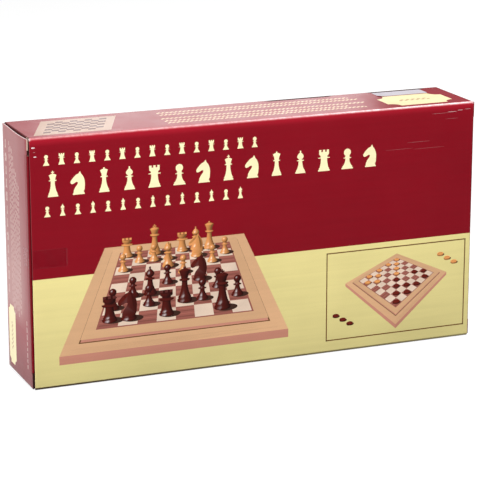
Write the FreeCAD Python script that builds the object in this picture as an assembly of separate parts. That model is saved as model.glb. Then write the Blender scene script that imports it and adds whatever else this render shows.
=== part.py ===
import FreeCAD
import Part
import math
import os

# Chess and checkers set: a tuck-end carton of printed corrugated board, standing on one long side,
# with a folded wooden board case and all its men inside. Millimetres. X runs along the carton,
# the printed front faces -Y, Z is up, and the origin is the middle of the base.

# Men, each by its height and the diameter of its foot
KING_HEIGHT = 76.0
KING_FOOT = 30.0
QUEEN_HEIGHT = 68.0
QUEEN_FOOT = 29.0
BISHOP_HEIGHT = 57.0
BISHOP_FOOT = 27.0
KNIGHT_HEIGHT = 53.0
KNIGHT_FOOT = 27.0
KNIGHT_HEAD_THICK = 13.0
ROOK_HEIGHT = 45.0
ROOK_FOOT = 27.0
PAWN_HEIGHT = 38.5
PAWN_FOOT = 23.0
CHECKER_DIAMETER = 30.0
CHECKER_THICK = 7.0
CHECKER_RIM = 3.0
CHECKER_SINK = 0.7
CHECKERS_PER_SIDE = 15
PAWNS_PER_SIDE = 8
MAN_GAP = 0.5

# Board case: two equal halves that fold together with the playing faces outside
SQUARE = 37.0
SQUARES_ACROSS = 8
BORDER_LEAST = 30.0
LEDGE = 14.0
FIELD_RAISE = 2.5
VENEER = 0.8
RAIL = 10.0
DECK = 4.0
PAD = 9.2
PAD_PLAY = 0.3
RIM_GAP = 0.2
LANE_COUNT = 5
DIVIDER = 2.0
LANE_PLAY = 2.0
LANE_END_PLAY = 2.0

# Case hardware
HINGE_LENGTH = 30.0
HINGE_INSET = 62.0
LEAF_WIDTH = 12.0
LEAF_THICK = 1.0
KNUCKLE_RADIUS = 2.2
KNUCKLE_GAP = 0.1
PIN_RADIUS = 1.0
PIN_PLAY = 0.05
RELIEF_PLAY = 0.3
SCREW_SHANK = 1.1
SCREW_HEAD = 2.2
SCREW_LENGTH = 7.0
SCREW_PITCH = 18.0
CLASP_INSET = 92.0
CLASP_REACH = 14.0
HOOK_WIDTH = 7.0
HOOK_THICK = 1.2
HOOK_LIFT = 0.2
HOOK_TIP = 4.0
HOOK_LIP = 2.4
STUD_RADIUS = 1.3
STUD_PLAY = 0.7
PIVOT_RADIUS = 1.3
CLASP_HEAD = 2.6
CLASP_HEAD_THICK = 1.0
CLASP_DEPTH = 7.0

# Carton of fluted board
BOARD = 1.6
CREASE_RADIUS = 1.5
CREASE_GAP = 0.1
FLAP_GAP = 0.3
FLAP_EDGE = 0.8
FRONT_SETBACK = 1.5
TAB_GAP = 0.7
TAB_LENGTH = 18.0
TAB_LEAN = 4.0
TAB_FOLD = 46.0
TAB_CORNER = 12.0
TAB_CLEAR = 0.9
SHOULDER = 13.0
SLIT = 0.4
DUST_LENGTH = 45.0
DUST_BACK = 0.7
DUST_TAPER = 24.5
DUST_FRONT = 4.0
DUST_CORNER = 6.0
GLUE_FLAP = 24.0
END_PLAY = 1.0
BACK_PLAY = 0.4
REST_GAP = 0.2
HEADROOM = 8.9

# Paper label and clear tape seal
LABEL_LENGTH = 46.0
LABEL_WIDTH = 16.0
LABEL_THICK = 0.1
LABEL_FROM_END = 21.0
LABEL_FROM_BACK = 6.0
TAPE_WIDTH = 15.0
TAPE_ON_FRONT = 29.5
TAPE_ON_FLAP = 14.0
TAPE_THICK = 0.06
TAPE_LEVEL = 108.5

# Sizes that follow from the ones above
FEET = [KING_FOOT, QUEEN_FOOT, BISHOP_FOOT, KNIGHT_FOOT, ROOK_FOOT, PAWN_FOOT, CHECKER_DIAMETER]
WIDEST_MAN = max(FEET)
PAWN_LANE = PAWNS_PER_SIDE * PAWN_HEIGHT + ROOK_HEIGHT + (PAWNS_PER_SIDE + 1) * MAN_GAP
ROYAL_LANE = KING_HEIGHT + QUEEN_HEIGHT + 2 * BISHOP_HEIGHT + KNIGHT_HEIGHT + ROOK_HEIGHT + 6 * MAN_GAP
CHECKER_LANE = 2 * KNIGHT_HEIGHT + 2 * CHECKERS_PER_SIDE * (CHECKER_THICK + MAN_GAP) + 2 * MAN_GAP
LANES_NEED_LENGTH = max(PAWN_LANE, ROYAL_LANE, CHECKER_LANE) + 2 * LANE_END_PLAY + 2 * RAIL
LANES_NEED_HEIGHT = LANE_COUNT * (WIDEST_MAN + LANE_PLAY) + (LANE_COUNT - 1) * DIVIDER + 2 * RAIL
FIELD_NEEDS = SQUARES_ACROSS * SQUARE + 2 * BORDER_LEAST + 2 * LEDGE
CASE_SIDE = max(LANES_NEED_LENGTH, 2 * LANES_NEED_HEIGHT, FIELD_NEEDS)
CASE_RISE = CASE_SIDE / 2
BORDER = (CASE_SIDE - 2 * LEDGE - SQUARES_ACROSS * SQUARE) / 2
CAVITY = WIDEST_MAN + 2 * (PAD + PAD_PLAY)
HALF_THICK = CAVITY / 2 + DECK + FIELD_RAISE
LANE_PITCH = (CASE_RISE - 2 * RAIL + DIVIDER) / LANE_COUNT

TAB_MOST_TURN = math.radians(TAB_LEAN + TAB_FOLD)
TAB_LEAN_REACH = TAB_LENGTH * math.sin(math.radians(TAB_LEAN))
FRONT_PLAY = TAB_GAP + BOARD + TAB_LEAN_REACH + TAB_CLEAR
DUST_SETBACK = BOARD + FLAP_GAP
CARTON_LENGTH = CASE_SIDE + 2 * (END_PLAY + DUST_SETBACK + BOARD)
CARTON_DEPTH = 2 * HALF_THICK + FRONT_PLAY + BACK_PLAY + 2 * BOARD
CARTON_HEIGHT = CASE_RISE + KNUCKLE_RADIUS + REST_GAP + HEADROOM + 2 * BOARD

END_X = CARTON_LENGTH / 2
FRONT_END_X = END_X - FRONT_SETBACK
FRONT_Y = -CARTON_DEPTH / 2
BACK_Y = CARTON_DEPTH / 2
HINGE_Y = BACK_Y - BOARD / 2
TAB_Y = FRONT_Y + BOARD + TAB_GAP + BOARD / 2
FLAP_BOTTOM = FLAP_EDGE
FLAP_TOP = CARTON_HEIGHT - FLAP_EDGE
DUST_FRONT_Y = TAB_Y + BOARD / 2 + DUST_FRONT
DUST_BACK_Y = BACK_Y - BOARD - DUST_BACK

CASE_MID_Y = BACK_Y - BOARD - BACK_PLAY - HALF_THICK
SPINE_Z = BOARD + REST_GAP + KNUCKLE_RADIUS
CASE_TOP_Z = SPINE_Z + CASE_RISE
CASE_X = CASE_SIDE / 2
INNER_X = CASE_X - RAIL
INNER_BOTTOM = SPINE_Z + RAIL
INNER_TOP = CASE_TOP_Z - RAIL

OUT = "parts"
X_AXIS = FreeCAD.Vector(1, 0, 0)
Y_AXIS = FreeCAD.Vector(0, 1, 0)
Z_AXIS = FreeCAD.Vector(0, 0, 1)


def point(x, y, z):
    return FreeCAD.Vector(x, y, z)


def block(x0, x1, y0, y1, z0, z1):
    """Box between two corners, given in any order along each axis."""
    low = point(min(x0, x1), min(y0, y1), min(z0, z1))
    return Part.makeBox(abs(x1 - x0), abs(y1 - y0), abs(z1 - z0), low)


def rod(radius, start, end):
    return Part.makeCylinder(radius, (end - start).Length, start, end - start)


def plate(corners, along):
    """Flat plate with a straight-sided outline, given thickness by the vector along."""
    ring = Part.makePolygon(corners + [corners[0]])
    return Part.Face(ring).extrude(along)


def round_corners(solid, direction, radius, picks):
    """Round the edges that run along direction and whose middle passes the test picks."""
    edges = []
    for edge in solid.Edges:
        span = edge.Vertexes[-1].Point - edge.Vertexes[0].Point
        if span.Length < 1e-6:
            continue
        parallel = abs(span.dot(direction)) / span.Length > 0.999
        if parallel and picks(edge.CenterOfMass):
            edges.append(edge)
    return solid.makeFillet(radius, edges)


def join(first, second):
    return first.fuse(second).removeSplitter()


def turned(outline):
    """Solid of revolution about Z. Each step of the outline is (r, z) for a straight line to that
    point, or (r, z, r, z) for an arc through the first point to the second."""
    edges = []
    here = point(0, 0, 0)
    for step in outline:
        there = point(step[-2], 0, step[-1])
        if len(step) == 2:
            edges.append(Part.makeLine(here, there))
        else:
            middle = point(step[0], 0, step[1])
            edges.append(Part.Arc(here, middle, there).toShape())
        here = there
    edges.append(Part.makeLine(here, point(0, 0, 0)))
    face = Part.Face(Part.Wire(edges))
    return face.revolve(point(0, 0, 0), Z_AXIS, 360)


def save(name, solids):
    shape = solids[0]
    if len(solids) > 1:
        shape = Part.makeCompound(solids)
    shape.exportStep(os.path.join(OUT, name + ".step"))


# Carton


def carton_sleeve():
    """The four panels in one folded sheet, with the glue flap, cut back at both ends for the flaps."""
    outer = block(-END_X, END_X, FRONT_Y, BACK_Y, 0, CARTON_HEIGHT)
    outer = round_corners(outer, X_AXIS, CREASE_RADIUS, lambda middle: True)
    hollow = block(-END_X, END_X, FRONT_Y + BOARD, BACK_Y - BOARD, BOARD, CARTON_HEIGHT - BOARD)
    sleeve = outer.cut(hollow)
    glue = block(-CASE_X, CASE_X, BACK_Y - BOARD - GLUE_FLAP, BACK_Y - BOARD, BOARD, 2 * BOARD)
    sleeve = join(sleeve, glue)
    back_end = BOARD + CREASE_GAP
    dust_end = DUST_SETBACK + BOARD + CREASE_GAP
    for side in (-1, 1):
        end = side * END_X
        sleeve = sleeve.cut(block(end, side * FRONT_END_X, FRONT_Y, FRONT_Y + BOARD, 0, CARTON_HEIGHT))
        sleeve = sleeve.cut(block(end, end - side * back_end, FRONT_Y + BOARD, BACK_Y, 0, CARTON_HEIGHT))
        sleeve = sleeve.cut(block(end, end - side * dust_end, FRONT_Y + BOARD, BACK_Y - BOARD,
                                  0, CARTON_HEIGHT))
    return sleeve


def end_flap(side):
    """Closing flap of one end: a round crease at the back panel, slit shoulders at the front, and a bevel
    inside the tab's crease, where the board is crushed so that the tab can fold in."""
    face_x = side * END_X
    tab_edge = TAB_Y + BOARD / 2 + CREASE_GAP
    front_edge = TAB_Y - BOARD / 2
    low = FLAP_BOTTOM + SHOULDER
    high = FLAP_TOP - SHOULDER
    outline = [(HINGE_Y, FLAP_BOTTOM), (front_edge, FLAP_BOTTOM), (front_edge, low), (tab_edge, low),
               (tab_edge, high), (front_edge, high), (front_edge, FLAP_TOP), (HINGE_Y, FLAP_TOP)]
    corners = [point(face_x, y, z) for y, z in outline]
    sheet = plate(corners, point(-side * BOARD, 0, 0))
    inner_x = face_x - side * BOARD
    cut_back = (BOARD / 2 * (1 + math.sin(TAB_MOST_TURN)) + CREASE_GAP) / math.cos(TAB_MOST_TURN)
    bevel = [point(face_x, tab_edge, low), point(inner_x, tab_edge, low), point(inner_x, TAB_Y + cut_back, low)]
    sheet = sheet.cut(plate(bevel, point(0, 0, high - low)))
    crease_x = face_x - side * BOARD / 2
    crease = rod(BOARD / 2, point(crease_x, HINGE_Y, FLAP_BOTTOM), point(crease_x, HINGE_Y, FLAP_TOP))
    return join(sheet, crease)


def tuck_tab(side):
    """Tab that slips behind the front panel, with its own round crease."""
    low = FLAP_BOTTOM + SHOULDER + SLIT
    high = FLAP_TOP - SHOULDER - SLIT
    sheet = block(0, TAB_LENGTH, -BOARD / 2, BOARD / 2, low, high)
    sheet = round_corners(sheet, Y_AXIS, TAB_CORNER, lambda middle: middle.x > TAB_LENGTH / 2)
    tab = join(sheet, rod(BOARD / 2, point(0, 0, low), point(0, 0, high)))
    turn = TAB_LEAN if side < 0 else 180 - TAB_LEAN
    tab.rotate(point(0, 0, 0), Z_AXIS, turn)
    tab.translate(point(side * (END_X - BOARD / 2), TAB_Y, 0))
    return tab


def dust_flap(side, level):
    """Inner flap on the top panel (level 1) or the bottom panel (level -1), tapered at the back."""
    outer_x = side * (END_X - DUST_SETBACK)
    crease_x = outer_x - side * BOARD / 2
    crease_z = CARTON_HEIGHT - BOARD / 2 if level > 0 else BOARD / 2
    tip_z = crease_z - level * DUST_LENGTH
    outline = [(DUST_BACK_Y, crease_z), (DUST_FRONT_Y, crease_z), (DUST_FRONT_Y, tip_z),
               (DUST_BACK_Y - DUST_TAPER, tip_z)]
    corners = [point(outer_x, y, z) for y, z in outline]
    sheet = plate(corners, point(-side * BOARD, 0, 0))
    sheet = round_corners(sheet, X_AXIS, DUST_CORNER, lambda middle: abs(middle.z - tip_z) < 1e-3)
    crease = rod(BOARD / 2, point(crease_x, DUST_FRONT_Y, crease_z), point(crease_x, DUST_BACK_Y, crease_z))
    return join(sheet, crease)


def price_label():
    right = END_X - LABEL_FROM_END
    back = BACK_Y - LABEL_FROM_BACK
    return block(right - LABEL_LENGTH, right, back - LABEL_WIDTH, back,
                 CARTON_HEIGHT, CARTON_HEIGHT + LABEL_THICK)


def seal_on_front():
    return block(-FRONT_END_X, -FRONT_END_X + TAPE_ON_FRONT, FRONT_Y - TAPE_THICK, FRONT_Y,
                 TAPE_LEVEL - TAPE_WIDTH / 2, TAPE_LEVEL + TAPE_WIDTH / 2)


def seal_on_flap():
    start = TAB_Y + BOARD / 2 + CREASE_GAP
    return block(-END_X - TAPE_THICK, -END_X, start, start + TAPE_ON_FLAP,
                 TAPE_LEVEL - TAPE_WIDTH / 2, TAPE_LEVEL + TAPE_WIDTH / 2)


# Board case. In the next functions face is -1 for the front half and 1 for the back half.


def rim_y(face):
    return CASE_MID_Y + face * RIM_GAP / 2


def ledge_y(face):
    return CASE_MID_Y + face * (HALF_THICK - FIELD_RAISE)


def hinge_starts():
    return [-CASE_X + HINGE_INSET, CASE_X - HINGE_INSET - HINGE_LENGTH]


def screw_places(face):
    """Middle of each hinge screw of one half, on the under side of the spine rail."""
    y = CASE_MID_Y + face * (LEAF_WIDTH + KNUCKLE_RADIUS) / 2
    places = []
    for start in hinge_starts():
        middle = start + HINGE_LENGTH / 2
        places.append(point(middle - SCREW_PITCH / 2, y, SPINE_Z))
        places.append(point(middle + SCREW_PITCH / 2, y, SPINE_Z))
    return places


def screw(place, play):
    """Countersunk screw driven up into the spine rail, with its head flush with the leaf."""
    head_depth = SCREW_HEAD - SCREW_SHANK
    head = Part.makeCone(SCREW_HEAD + play, SCREW_SHANK + play, head_depth, place, Z_AXIS)
    shank = rod(SCREW_SHANK + play, place, place + point(0, 0, SCREW_LENGTH + play))
    return join(head, shank)


def knuckle_relief(start):
    low = point(start - KNUCKLE_GAP, CASE_MID_Y, SPINE_Z)
    high = point(start + HINGE_LENGTH + KNUCKLE_GAP, CASE_MID_Y, SPINE_Z)
    return rod(KNUCKLE_RADIUS + RELIEF_PLAY, low, high)


def spine_rail(face):
    rail = block(-CASE_X, CASE_X, rim_y(face), ledge_y(face), SPINE_Z, INNER_BOTTOM)
    leaf_end = CASE_MID_Y + face * (LEAF_WIDTH + KNUCKLE_GAP)
    for start in hinge_starts():
        rail = rail.cut(block(start - KNUCKLE_GAP, start + HINGE_LENGTH + KNUCKLE_GAP, CASE_MID_Y, leaf_end,
                              SPINE_Z, SPINE_Z + LEAF_THICK))
        rail = rail.cut(knuckle_relief(start))
    for place in screw_places(face):
        rail = rail.cut(screw(place, PIN_PLAY))
    return rail


def clasp_places():
    return [-CASE_X + CLASP_INSET, CASE_X - CLASP_INSET]


def clasp_point(x, face):
    return point(x, CASE_MID_Y + face * CLASP_REACH / 2, CASE_TOP_Z)


def outer_rail(face):
    rail = block(-CASE_X, CASE_X, rim_y(face), ledge_y(face), INNER_TOP, CASE_TOP_Z)
    radius = PIVOT_RADIUS if face < 0 else STUD_RADIUS
    for x in clasp_places():
        top = clasp_point(x, face)
        rail = rail.cut(rod(radius + PIN_PLAY, top - point(0, 0, CLASP_DEPTH + PIN_PLAY), top))
    return rail


def side_rail(face, side):
    return block(side * CASE_X, side * INNER_X, rim_y(face), ledge_y(face), INNER_BOTTOM, INNER_TOP)


def deck(face):
    return block(-INNER_X, INNER_X, ledge_y(face), ledge_y(face) - face * DECK, INNER_BOTTOM, INNER_TOP)


def foam_pad(face):
    outer = ledge_y(face) - face * DECK
    return block(-INNER_X + PAD_PLAY, INNER_X - PAD_PLAY, outer, outer - face * PAD,
                 INNER_BOTTOM + PAD_PLAY, INNER_TOP - PAD_PLAY)


def field_panel(face):
    half = CASE_X - LEDGE
    return block(-half, half, ledge_y(face), ledge_y(face) + face * (FIELD_RAISE - VENEER),
                 SPINE_Z, CASE_TOP_Z - LEDGE)


def veneer_tile(face, x0, x1, z0, z1):
    under = ledge_y(face) + face * (FIELD_RAISE - VENEER)
    return block(x0, x1, under, under + face * VENEER, z0, z1)


def field_border(face):
    """Three veneer strips round the squares of one half; the spine side has none."""
    half = CASE_X - LEDGE
    top = CASE_TOP_Z - LEDGE
    field_top = SPINE_Z + SQUARE * SQUARES_ACROSS / 2
    strips = [veneer_tile(face, -half, half, field_top, top)]
    for side in (-1, 1):
        strips.append(veneer_tile(face, side * half, side * (half - BORDER), SPINE_Z, field_top))
    return strips


def squares(face, light):
    """The light or the dark squares of one half; the two halves match when the case lies open."""
    tiles = []
    shift = 0 if face < 0 else 1
    left = -SQUARE * SQUARES_ACROSS / 2
    for column in range(SQUARES_ACROSS):
        for row in range(SQUARES_ACROSS // 2):
            is_light = (column + row + shift) % 2 == 0
            if is_light == light:
                x = left + column * SQUARE
                z = SPINE_Z + row * SQUARE
                tiles.append(veneer_tile(face, x, x + SQUARE, z, z + SQUARE))
    return tiles


def lane_floor(lane):
    return INNER_BOTTOM + lane * LANE_PITCH


def lane_dividers():
    back = CASE_MID_Y + CAVITY / 2 - PAD
    front = CASE_MID_Y - CAVITY / 2 + PAD + PAD_PLAY
    strips = []
    for lane in range(1, LANE_COUNT):
        top = lane_floor(lane)
        strips.append(block(-INNER_X + PAD_PLAY, INNER_X - PAD_PLAY, front, back, top - DIVIDER, top))
    return strips


def hinge_leaf(face):
    """Leaves of one half: the front ones hold the two outer knuckles, the back ones the middle one."""
    third = HINGE_LENGTH / 3
    if face < 0:
        spans = [(0, third - KNUCKLE_GAP), (2 * third + KNUCKLE_GAP, HINGE_LENGTH)]
    else:
        spans = [(third, 2 * third)]
    leaves = []
    for start in hinge_starts():
        near = CASE_MID_Y + face * (KNUCKLE_RADIUS + RELIEF_PLAY)
        leaf = block(start, start + HINGE_LENGTH, near, CASE_MID_Y + face * LEAF_WIDTH,
                     SPINE_Z, SPINE_Z + LEAF_THICK)
        for low, high in spans:
            leaf = join(leaf, block(start + low, start + high, CASE_MID_Y, near, SPINE_Z, SPINE_Z + LEAF_THICK))
            leaf = join(leaf, rod(KNUCKLE_RADIUS, point(start + low, CASE_MID_Y, SPINE_Z),
                                  point(start + high, CASE_MID_Y, SPINE_Z)))
        leaf = leaf.cut(rod(PIN_RADIUS + PIN_PLAY, point(start - 1, CASE_MID_Y, SPINE_Z),
                            point(start + HINGE_LENGTH + 1, CASE_MID_Y, SPINE_Z)))
        for place in screw_places(face):
            leaf = leaf.cut(screw(place, PIN_PLAY))
        leaves.append(leaf)
    return leaves


def hinge_pins():
    pins = []
    for start in hinge_starts():
        pins.append(rod(PIN_RADIUS, point(start, CASE_MID_Y, SPINE_Z),
                        point(start + HINGE_LENGTH, CASE_MID_Y, SPINE_Z)))
    return pins


def hinge_screws():
    return [screw(place, 0) for face in (-1, 1) for place in screw_places(face)]


def clasp_hook(x, swing):
    """Flat hook that turns on its pivot towards swing along X, notched on its other side for the stud,
    with a lip for the finger."""
    low_z = CASE_TOP_Z + HOOK_LIFT
    pivot = clasp_point(x, -1)
    stud = clasp_point(x, 1)
    half = HOOK_WIDTH / 2
    tip_y = stud.y + HOOK_TIP
    arm = block(x - half, x + half, pivot.y, tip_y, low_z, low_z + HOOK_THICK)
    heel = rod(half, point(x, pivot.y, low_z), point(x, pivot.y, low_z + HOOK_THICK))
    lip = block(x - half, x + half, tip_y - HOOK_THICK, tip_y, low_z, low_z + HOOK_THICK + HOOK_LIP)
    hook = join(join(arm, heel), lip)
    bore = rod(PIVOT_RADIUS + PIN_PLAY, point(x, pivot.y, low_z), point(x, pivot.y, low_z + HOOK_THICK))
    slot = STUD_RADIUS + STUD_PLAY
    notch = block(x - swing * half, x, stud.y - slot, stud.y + slot, low_z, low_z + HOOK_THICK)
    notch = join(notch, rod(slot, point(x, stud.y, low_z), point(x, stud.y, low_z + HOOK_THICK)))
    return hook.cut(bore).cut(notch)


def clasp_fixings(face, radius):
    """Shouldered screws that carry the hooks, or the studs that the hooks catch on."""
    solids = []
    for x in clasp_places():
        top = clasp_point(x, face)
        head_z = HOOK_LIFT + HOOK_THICK + HOOK_LIFT
        shank = rod(radius, top - point(0, 0, CLASP_DEPTH), top + point(0, 0, head_z))
        head = rod(CLASP_HEAD, top + point(0, 0, head_z), top + point(0, 0, head_z + CLASP_HEAD_THICK))
        solids.append(join(shank, head))
    return solids


# Men. Each is turned upright on Z, then laid along X in its lane.


def foot_and_stem(r, h, stem_top, waist):
    """Foot, ogee and stem that all the chessmen share, up to the collar."""
    return [(r, 0), (r, 0.05 * h), (0.92 * r, 0.095 * h, 0.80 * r, 0.13 * h), (0.84 * r, 0.15 * h),
            (0.84 * r, 0.17 * h), (0.70 * r, 0.19 * h),
            (waist * 1.12 * r, (0.19 * h + stem_top) / 2, waist * r, stem_top)]


def collar(r, z, thick, inner):
    return [(r, z), (r * 1.06, z + thick / 2, r, z + thick), (inner, z + thick)]


def ball_on(neck, ball, top):
    """Arc of a ball that starts on a neck and closes on the axis."""
    middle = top - ball
    start = middle - math.sqrt(ball * ball - neck * neck)
    return [(neck, start), (ball, middle, 0, top)]


def pawn():
    r = PAWN_FOOT / 2
    h = PAWN_HEIGHT
    outline = foot_and_stem(r, h, 0.56 * h, 0.36) + collar(0.62 * r, 0.57 * h, 0.05 * h, 0.36 * r)
    return turned(outline + ball_on(0.36 * r, 0.60 * r, h))


def bishop():
    r = BISHOP_FOOT / 2
    h = BISHOP_HEIGHT
    outline = foot_and_stem(r, h, 0.52 * h, 0.33) + collar(0.60 * r, 0.53 * h, 0.04 * h, 0.36 * r)
    outline += [(0.36 * r, 0.61 * h), (0.62 * r, 0.74 * h, 0.14 * r, 0.91 * h)]
    outline += ball_on(0.14 * r, 0.20 * r, h)
    man = turned(outline)
    slot = block(0, r, -r, r, 0.75 * h, 0.78 * h)
    slot.rotate(point(0, 0, 0.75 * h), Y_AXIS, -35)
    return man.cut(slot)


def rook():
    r = ROOK_FOOT / 2
    h = ROOK_HEIGHT
    outline = foot_and_stem(r, h, 0.62 * h, 0.52) + [(0.70 * r, 0.64 * h), (0.70 * r, h), (0.46 * r, h),
                                                     (0.46 * r, 0.86 * h), (0, 0.86 * h)]
    man = turned(outline)
    for angle in (0, 60, 120):
        slot = block(-r, r, -0.11 * r, 0.11 * r, 0.90 * h, h)
        slot.rotate(point(0, 0, 0), Z_AXIS, angle)
        man = man.cut(slot)
    return man


def queen():
    r = QUEEN_FOOT / 2
    h = QUEEN_HEIGHT
    outline = foot_and_stem(r, h, 0.62 * h, 0.31) + collar(0.56 * r, 0.63 * h, 0.04 * h, 0.34 * r)
    outline += [(0.34 * r, 0.70 * h), (0.42 * r, 0.80 * h, 0.62 * r, 0.90 * h), (0.40 * r, 0.90 * h)]
    outline += [(0.16 * r, 0.93 * h)] + ball_on(0.16 * r, 0.20 * r, h)
    man = turned(outline)
    for number in range(8):
        angle = math.radians(45 * number)
        bite = Part.makeSphere(0.14 * r, point(0.62 * r * math.cos(angle), 0.62 * r * math.sin(angle), 0.91 * h))
        man = man.cut(bite)
    return man


def king():
    r = KING_FOOT / 2
    h = KING_HEIGHT
    outline = foot_and_stem(r, h, 0.60 * h, 0.31) + collar(0.58 * r, 0.61 * h, 0.04 * h, 0.34 * r)
    outline += [(0.34 * r, 0.68 * h), (0.42 * r, 0.77 * h, 0.60 * r, 0.86 * h),
                (0.40 * r, 0.895 * h, 0, 0.905 * h)]
    man = turned(outline)
    post = block(-0.09 * r, 0.09 * r, -0.07 * r, 0.07 * r, 0.88 * h, h)
    arm = block(-0.24 * r, 0.24 * r, -0.07 * r, 0.07 * r, 0.935 * h, 0.965 * h)
    return join(join(man, post), arm)


def knight():
    """Turned foot with a horse's head sawn from a flat blank."""
    r = KNIGHT_FOOT / 2
    h = KNIGHT_HEIGHT
    foot = turned([(r, 0), (r, 0.06 * h), (0.93 * r, 0.115 * h, 0.82 * r, 0.16 * h), (0.86 * r, 0.18 * h),
                   (0.86 * r, 0.21 * h), (0, 0.21 * h)])
    head = [(-0.70, 0.20), (-0.78, 0.42), (-0.58, 0.70), (-0.22, 0.92), (-0.06, 1.00), (0.04, 0.91),
            (0.34, 0.80), (0.80, 0.62), (0.74, 0.52), (0.34, 0.56), (0.14, 0.50), (0.46, 0.34), (0.62, 0.20)]
    places = [point(x * r, -KNIGHT_HEAD_THICK / 2, z * h) for x, z in head]
    curve = Part.BSplineCurve()
    curve.interpolate(places)
    ring = Part.Wire([curve.toShape(), Part.makeLine(places[-1], places[0])])
    neck = Part.Face(ring).extrude(point(0, KNIGHT_HEAD_THICK, 0))
    return join(foot, neck)


def checker():
    """Draughtsman with a raised rim and a raised ring on both faces."""
    r = CHECKER_DIAMETER / 2
    t = CHECKER_THICK
    low = CHECKER_SINK
    inner = r - CHECKER_RIM
    ring = inner - CHECKER_RIM
    outline = [(0, low), (ring - CHECKER_RIM / 2, low), (ring - CHECKER_RIM / 2, 0), (ring, 0), (ring, low),
               (inner, low), (inner, 0), (r, 0), (r, t), (inner, t), (inner, t - low), (ring, t - low),
               (ring, t), (ring - CHECKER_RIM / 2, t), (ring - CHECKER_RIM / 2, t - low), (0, t - low)]
    return turned(outline)


MEN = {"king": (king, KING_HEIGHT, KING_FOOT), "queen": (queen, QUEEN_HEIGHT, QUEEN_FOOT),
       "bishop": (bishop, BISHOP_HEIGHT, BISHOP_FOOT), "knight": (knight, KNIGHT_HEIGHT, KNIGHT_FOOT),
       "rook": (rook, ROOK_HEIGHT, ROOK_FOOT), "pawn": (pawn, PAWN_HEIGHT, PAWN_FOOT),
       "checker": (checker, CHECKER_THICK, CHECKER_DIAMETER)}
PAWN_ROW = ["rook"] + ["pawn"] * PAWNS_PER_SIDE
ROYAL_ROW = ["king", "queen", "bishop", "bishop", "knight", "rook"]
LANES = [("dark", PAWN_ROW), ("dark", ROYAL_ROW),
         ("dark", ["knight"] + ["checker"] * CHECKERS_PER_SIDE),
         ("light", ROYAL_ROW), ("light", PAWN_ROW)]
SHARED_LANE = 2
NODE_NAMES = {"king": "king", "queen": "queen", "bishop": "bishops", "knight": "knights", "rook": "rooks",
              "pawn": "pawns", "checker": "checkers"}


def lay_lane(made, stock, lane, colour, row, x):
    """Lay a row of men along one lane from x on, each one low in its lane, and return the next free x."""
    for kind in row:
        length, foot = MEN[kind][1], MEN[kind][2]
        man = stock[kind].copy()
        man.rotate(point(0, 0, 0), Y_AXIS, 90)
        man.translate(point(x, CASE_MID_Y, lane_floor(lane) + PAD_PLAY + foot / 2))
        made.setdefault(colour + "_" + NODE_NAMES[kind], []).append(man)
        x += length + MAN_GAP
    return x


def lay_men():
    stock = {kind: MEN[kind][0]() for kind in MEN}
    made = {}
    for lane, (colour, row) in enumerate(LANES):
        x = lay_lane(made, stock, lane, colour, row, -INNER_X + LANE_END_PLAY)
        if lane == SHARED_LANE:
            lay_lane(made, stock, lane, "light", row, x)
    return made


os.makedirs(OUT, exist_ok=True)
save("carton_sleeve", [carton_sleeve()])
for end_name, end_side in (("left", -1), ("right", 1)):
    save(end_name + "_end_flap", [end_flap(end_side)])
    save(end_name + "_tuck_tab", [tuck_tab(end_side)])
    save(end_name + "_upper_dust_flap", [dust_flap(end_side, 1)])
    save(end_name + "_lower_dust_flap", [dust_flap(end_side, -1)])
save("price_label", [price_label()])
save("seal_tape_on_front", [seal_on_front()])
save("seal_tape_on_flap", [seal_on_flap()])
for half_name, half_face in (("front", -1), ("back", 1)):
    save(half_name + "_spine_rail", [spine_rail(half_face)])
    save(half_name + "_outer_rail", [outer_rail(half_face)])
    save(half_name + "_left_rail", [side_rail(half_face, -1)])
    save(half_name + "_right_rail", [side_rail(half_face, 1)])
    save(half_name + "_deck", [deck(half_face)])
    save(half_name + "_foam_pad", [foam_pad(half_face)])
    save(half_name + "_field_panel", [field_panel(half_face)])
    save(half_name + "_field_border", field_border(half_face))
    save(half_name + "_light_squares", squares(half_face, True))
    save(half_name + "_dark_squares", squares(half_face, False))
    save(half_name + "_hinge_leaves", hinge_leaf(half_face))
save("lane_dividers", lane_dividers())
save("hinge_pins", hinge_pins())
save("hinge_screws", hinge_screws())
for clasp_name, clasp_x in zip(("left", "right"), clasp_places()):
    save(clasp_name + "_clasp_hook", [clasp_hook(clasp_x, math.copysign(1, clasp_x))])
save("clasp_pivot_screws", clasp_fixings(-1, PIVOT_RADIUS))
save("clasp_studs", clasp_fixings(1, STUD_RADIUS))
for man_name, men in lay_men().items():
    save(man_name, men)
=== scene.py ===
import math

import bmesh
import bpy
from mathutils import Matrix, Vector, noise


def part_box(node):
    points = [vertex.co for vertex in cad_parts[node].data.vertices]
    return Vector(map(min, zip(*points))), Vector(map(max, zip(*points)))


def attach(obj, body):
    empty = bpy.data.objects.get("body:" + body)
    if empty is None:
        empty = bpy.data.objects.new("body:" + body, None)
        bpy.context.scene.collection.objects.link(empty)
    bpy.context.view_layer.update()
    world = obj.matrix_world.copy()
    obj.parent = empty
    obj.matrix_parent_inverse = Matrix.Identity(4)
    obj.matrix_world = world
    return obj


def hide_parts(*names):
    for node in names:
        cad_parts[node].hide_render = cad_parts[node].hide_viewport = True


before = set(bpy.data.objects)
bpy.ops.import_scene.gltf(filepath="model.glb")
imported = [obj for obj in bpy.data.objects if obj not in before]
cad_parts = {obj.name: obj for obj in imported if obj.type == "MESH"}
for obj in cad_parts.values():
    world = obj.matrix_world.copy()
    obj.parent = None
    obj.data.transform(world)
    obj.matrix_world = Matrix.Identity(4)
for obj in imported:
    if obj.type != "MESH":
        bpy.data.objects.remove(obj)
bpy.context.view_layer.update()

# The boxed chess and checkers set: a printed carton with its flaps, seal and label, and the wooden case
# with its men inside. Meshes are worked out in millimetres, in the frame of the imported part.

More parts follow.
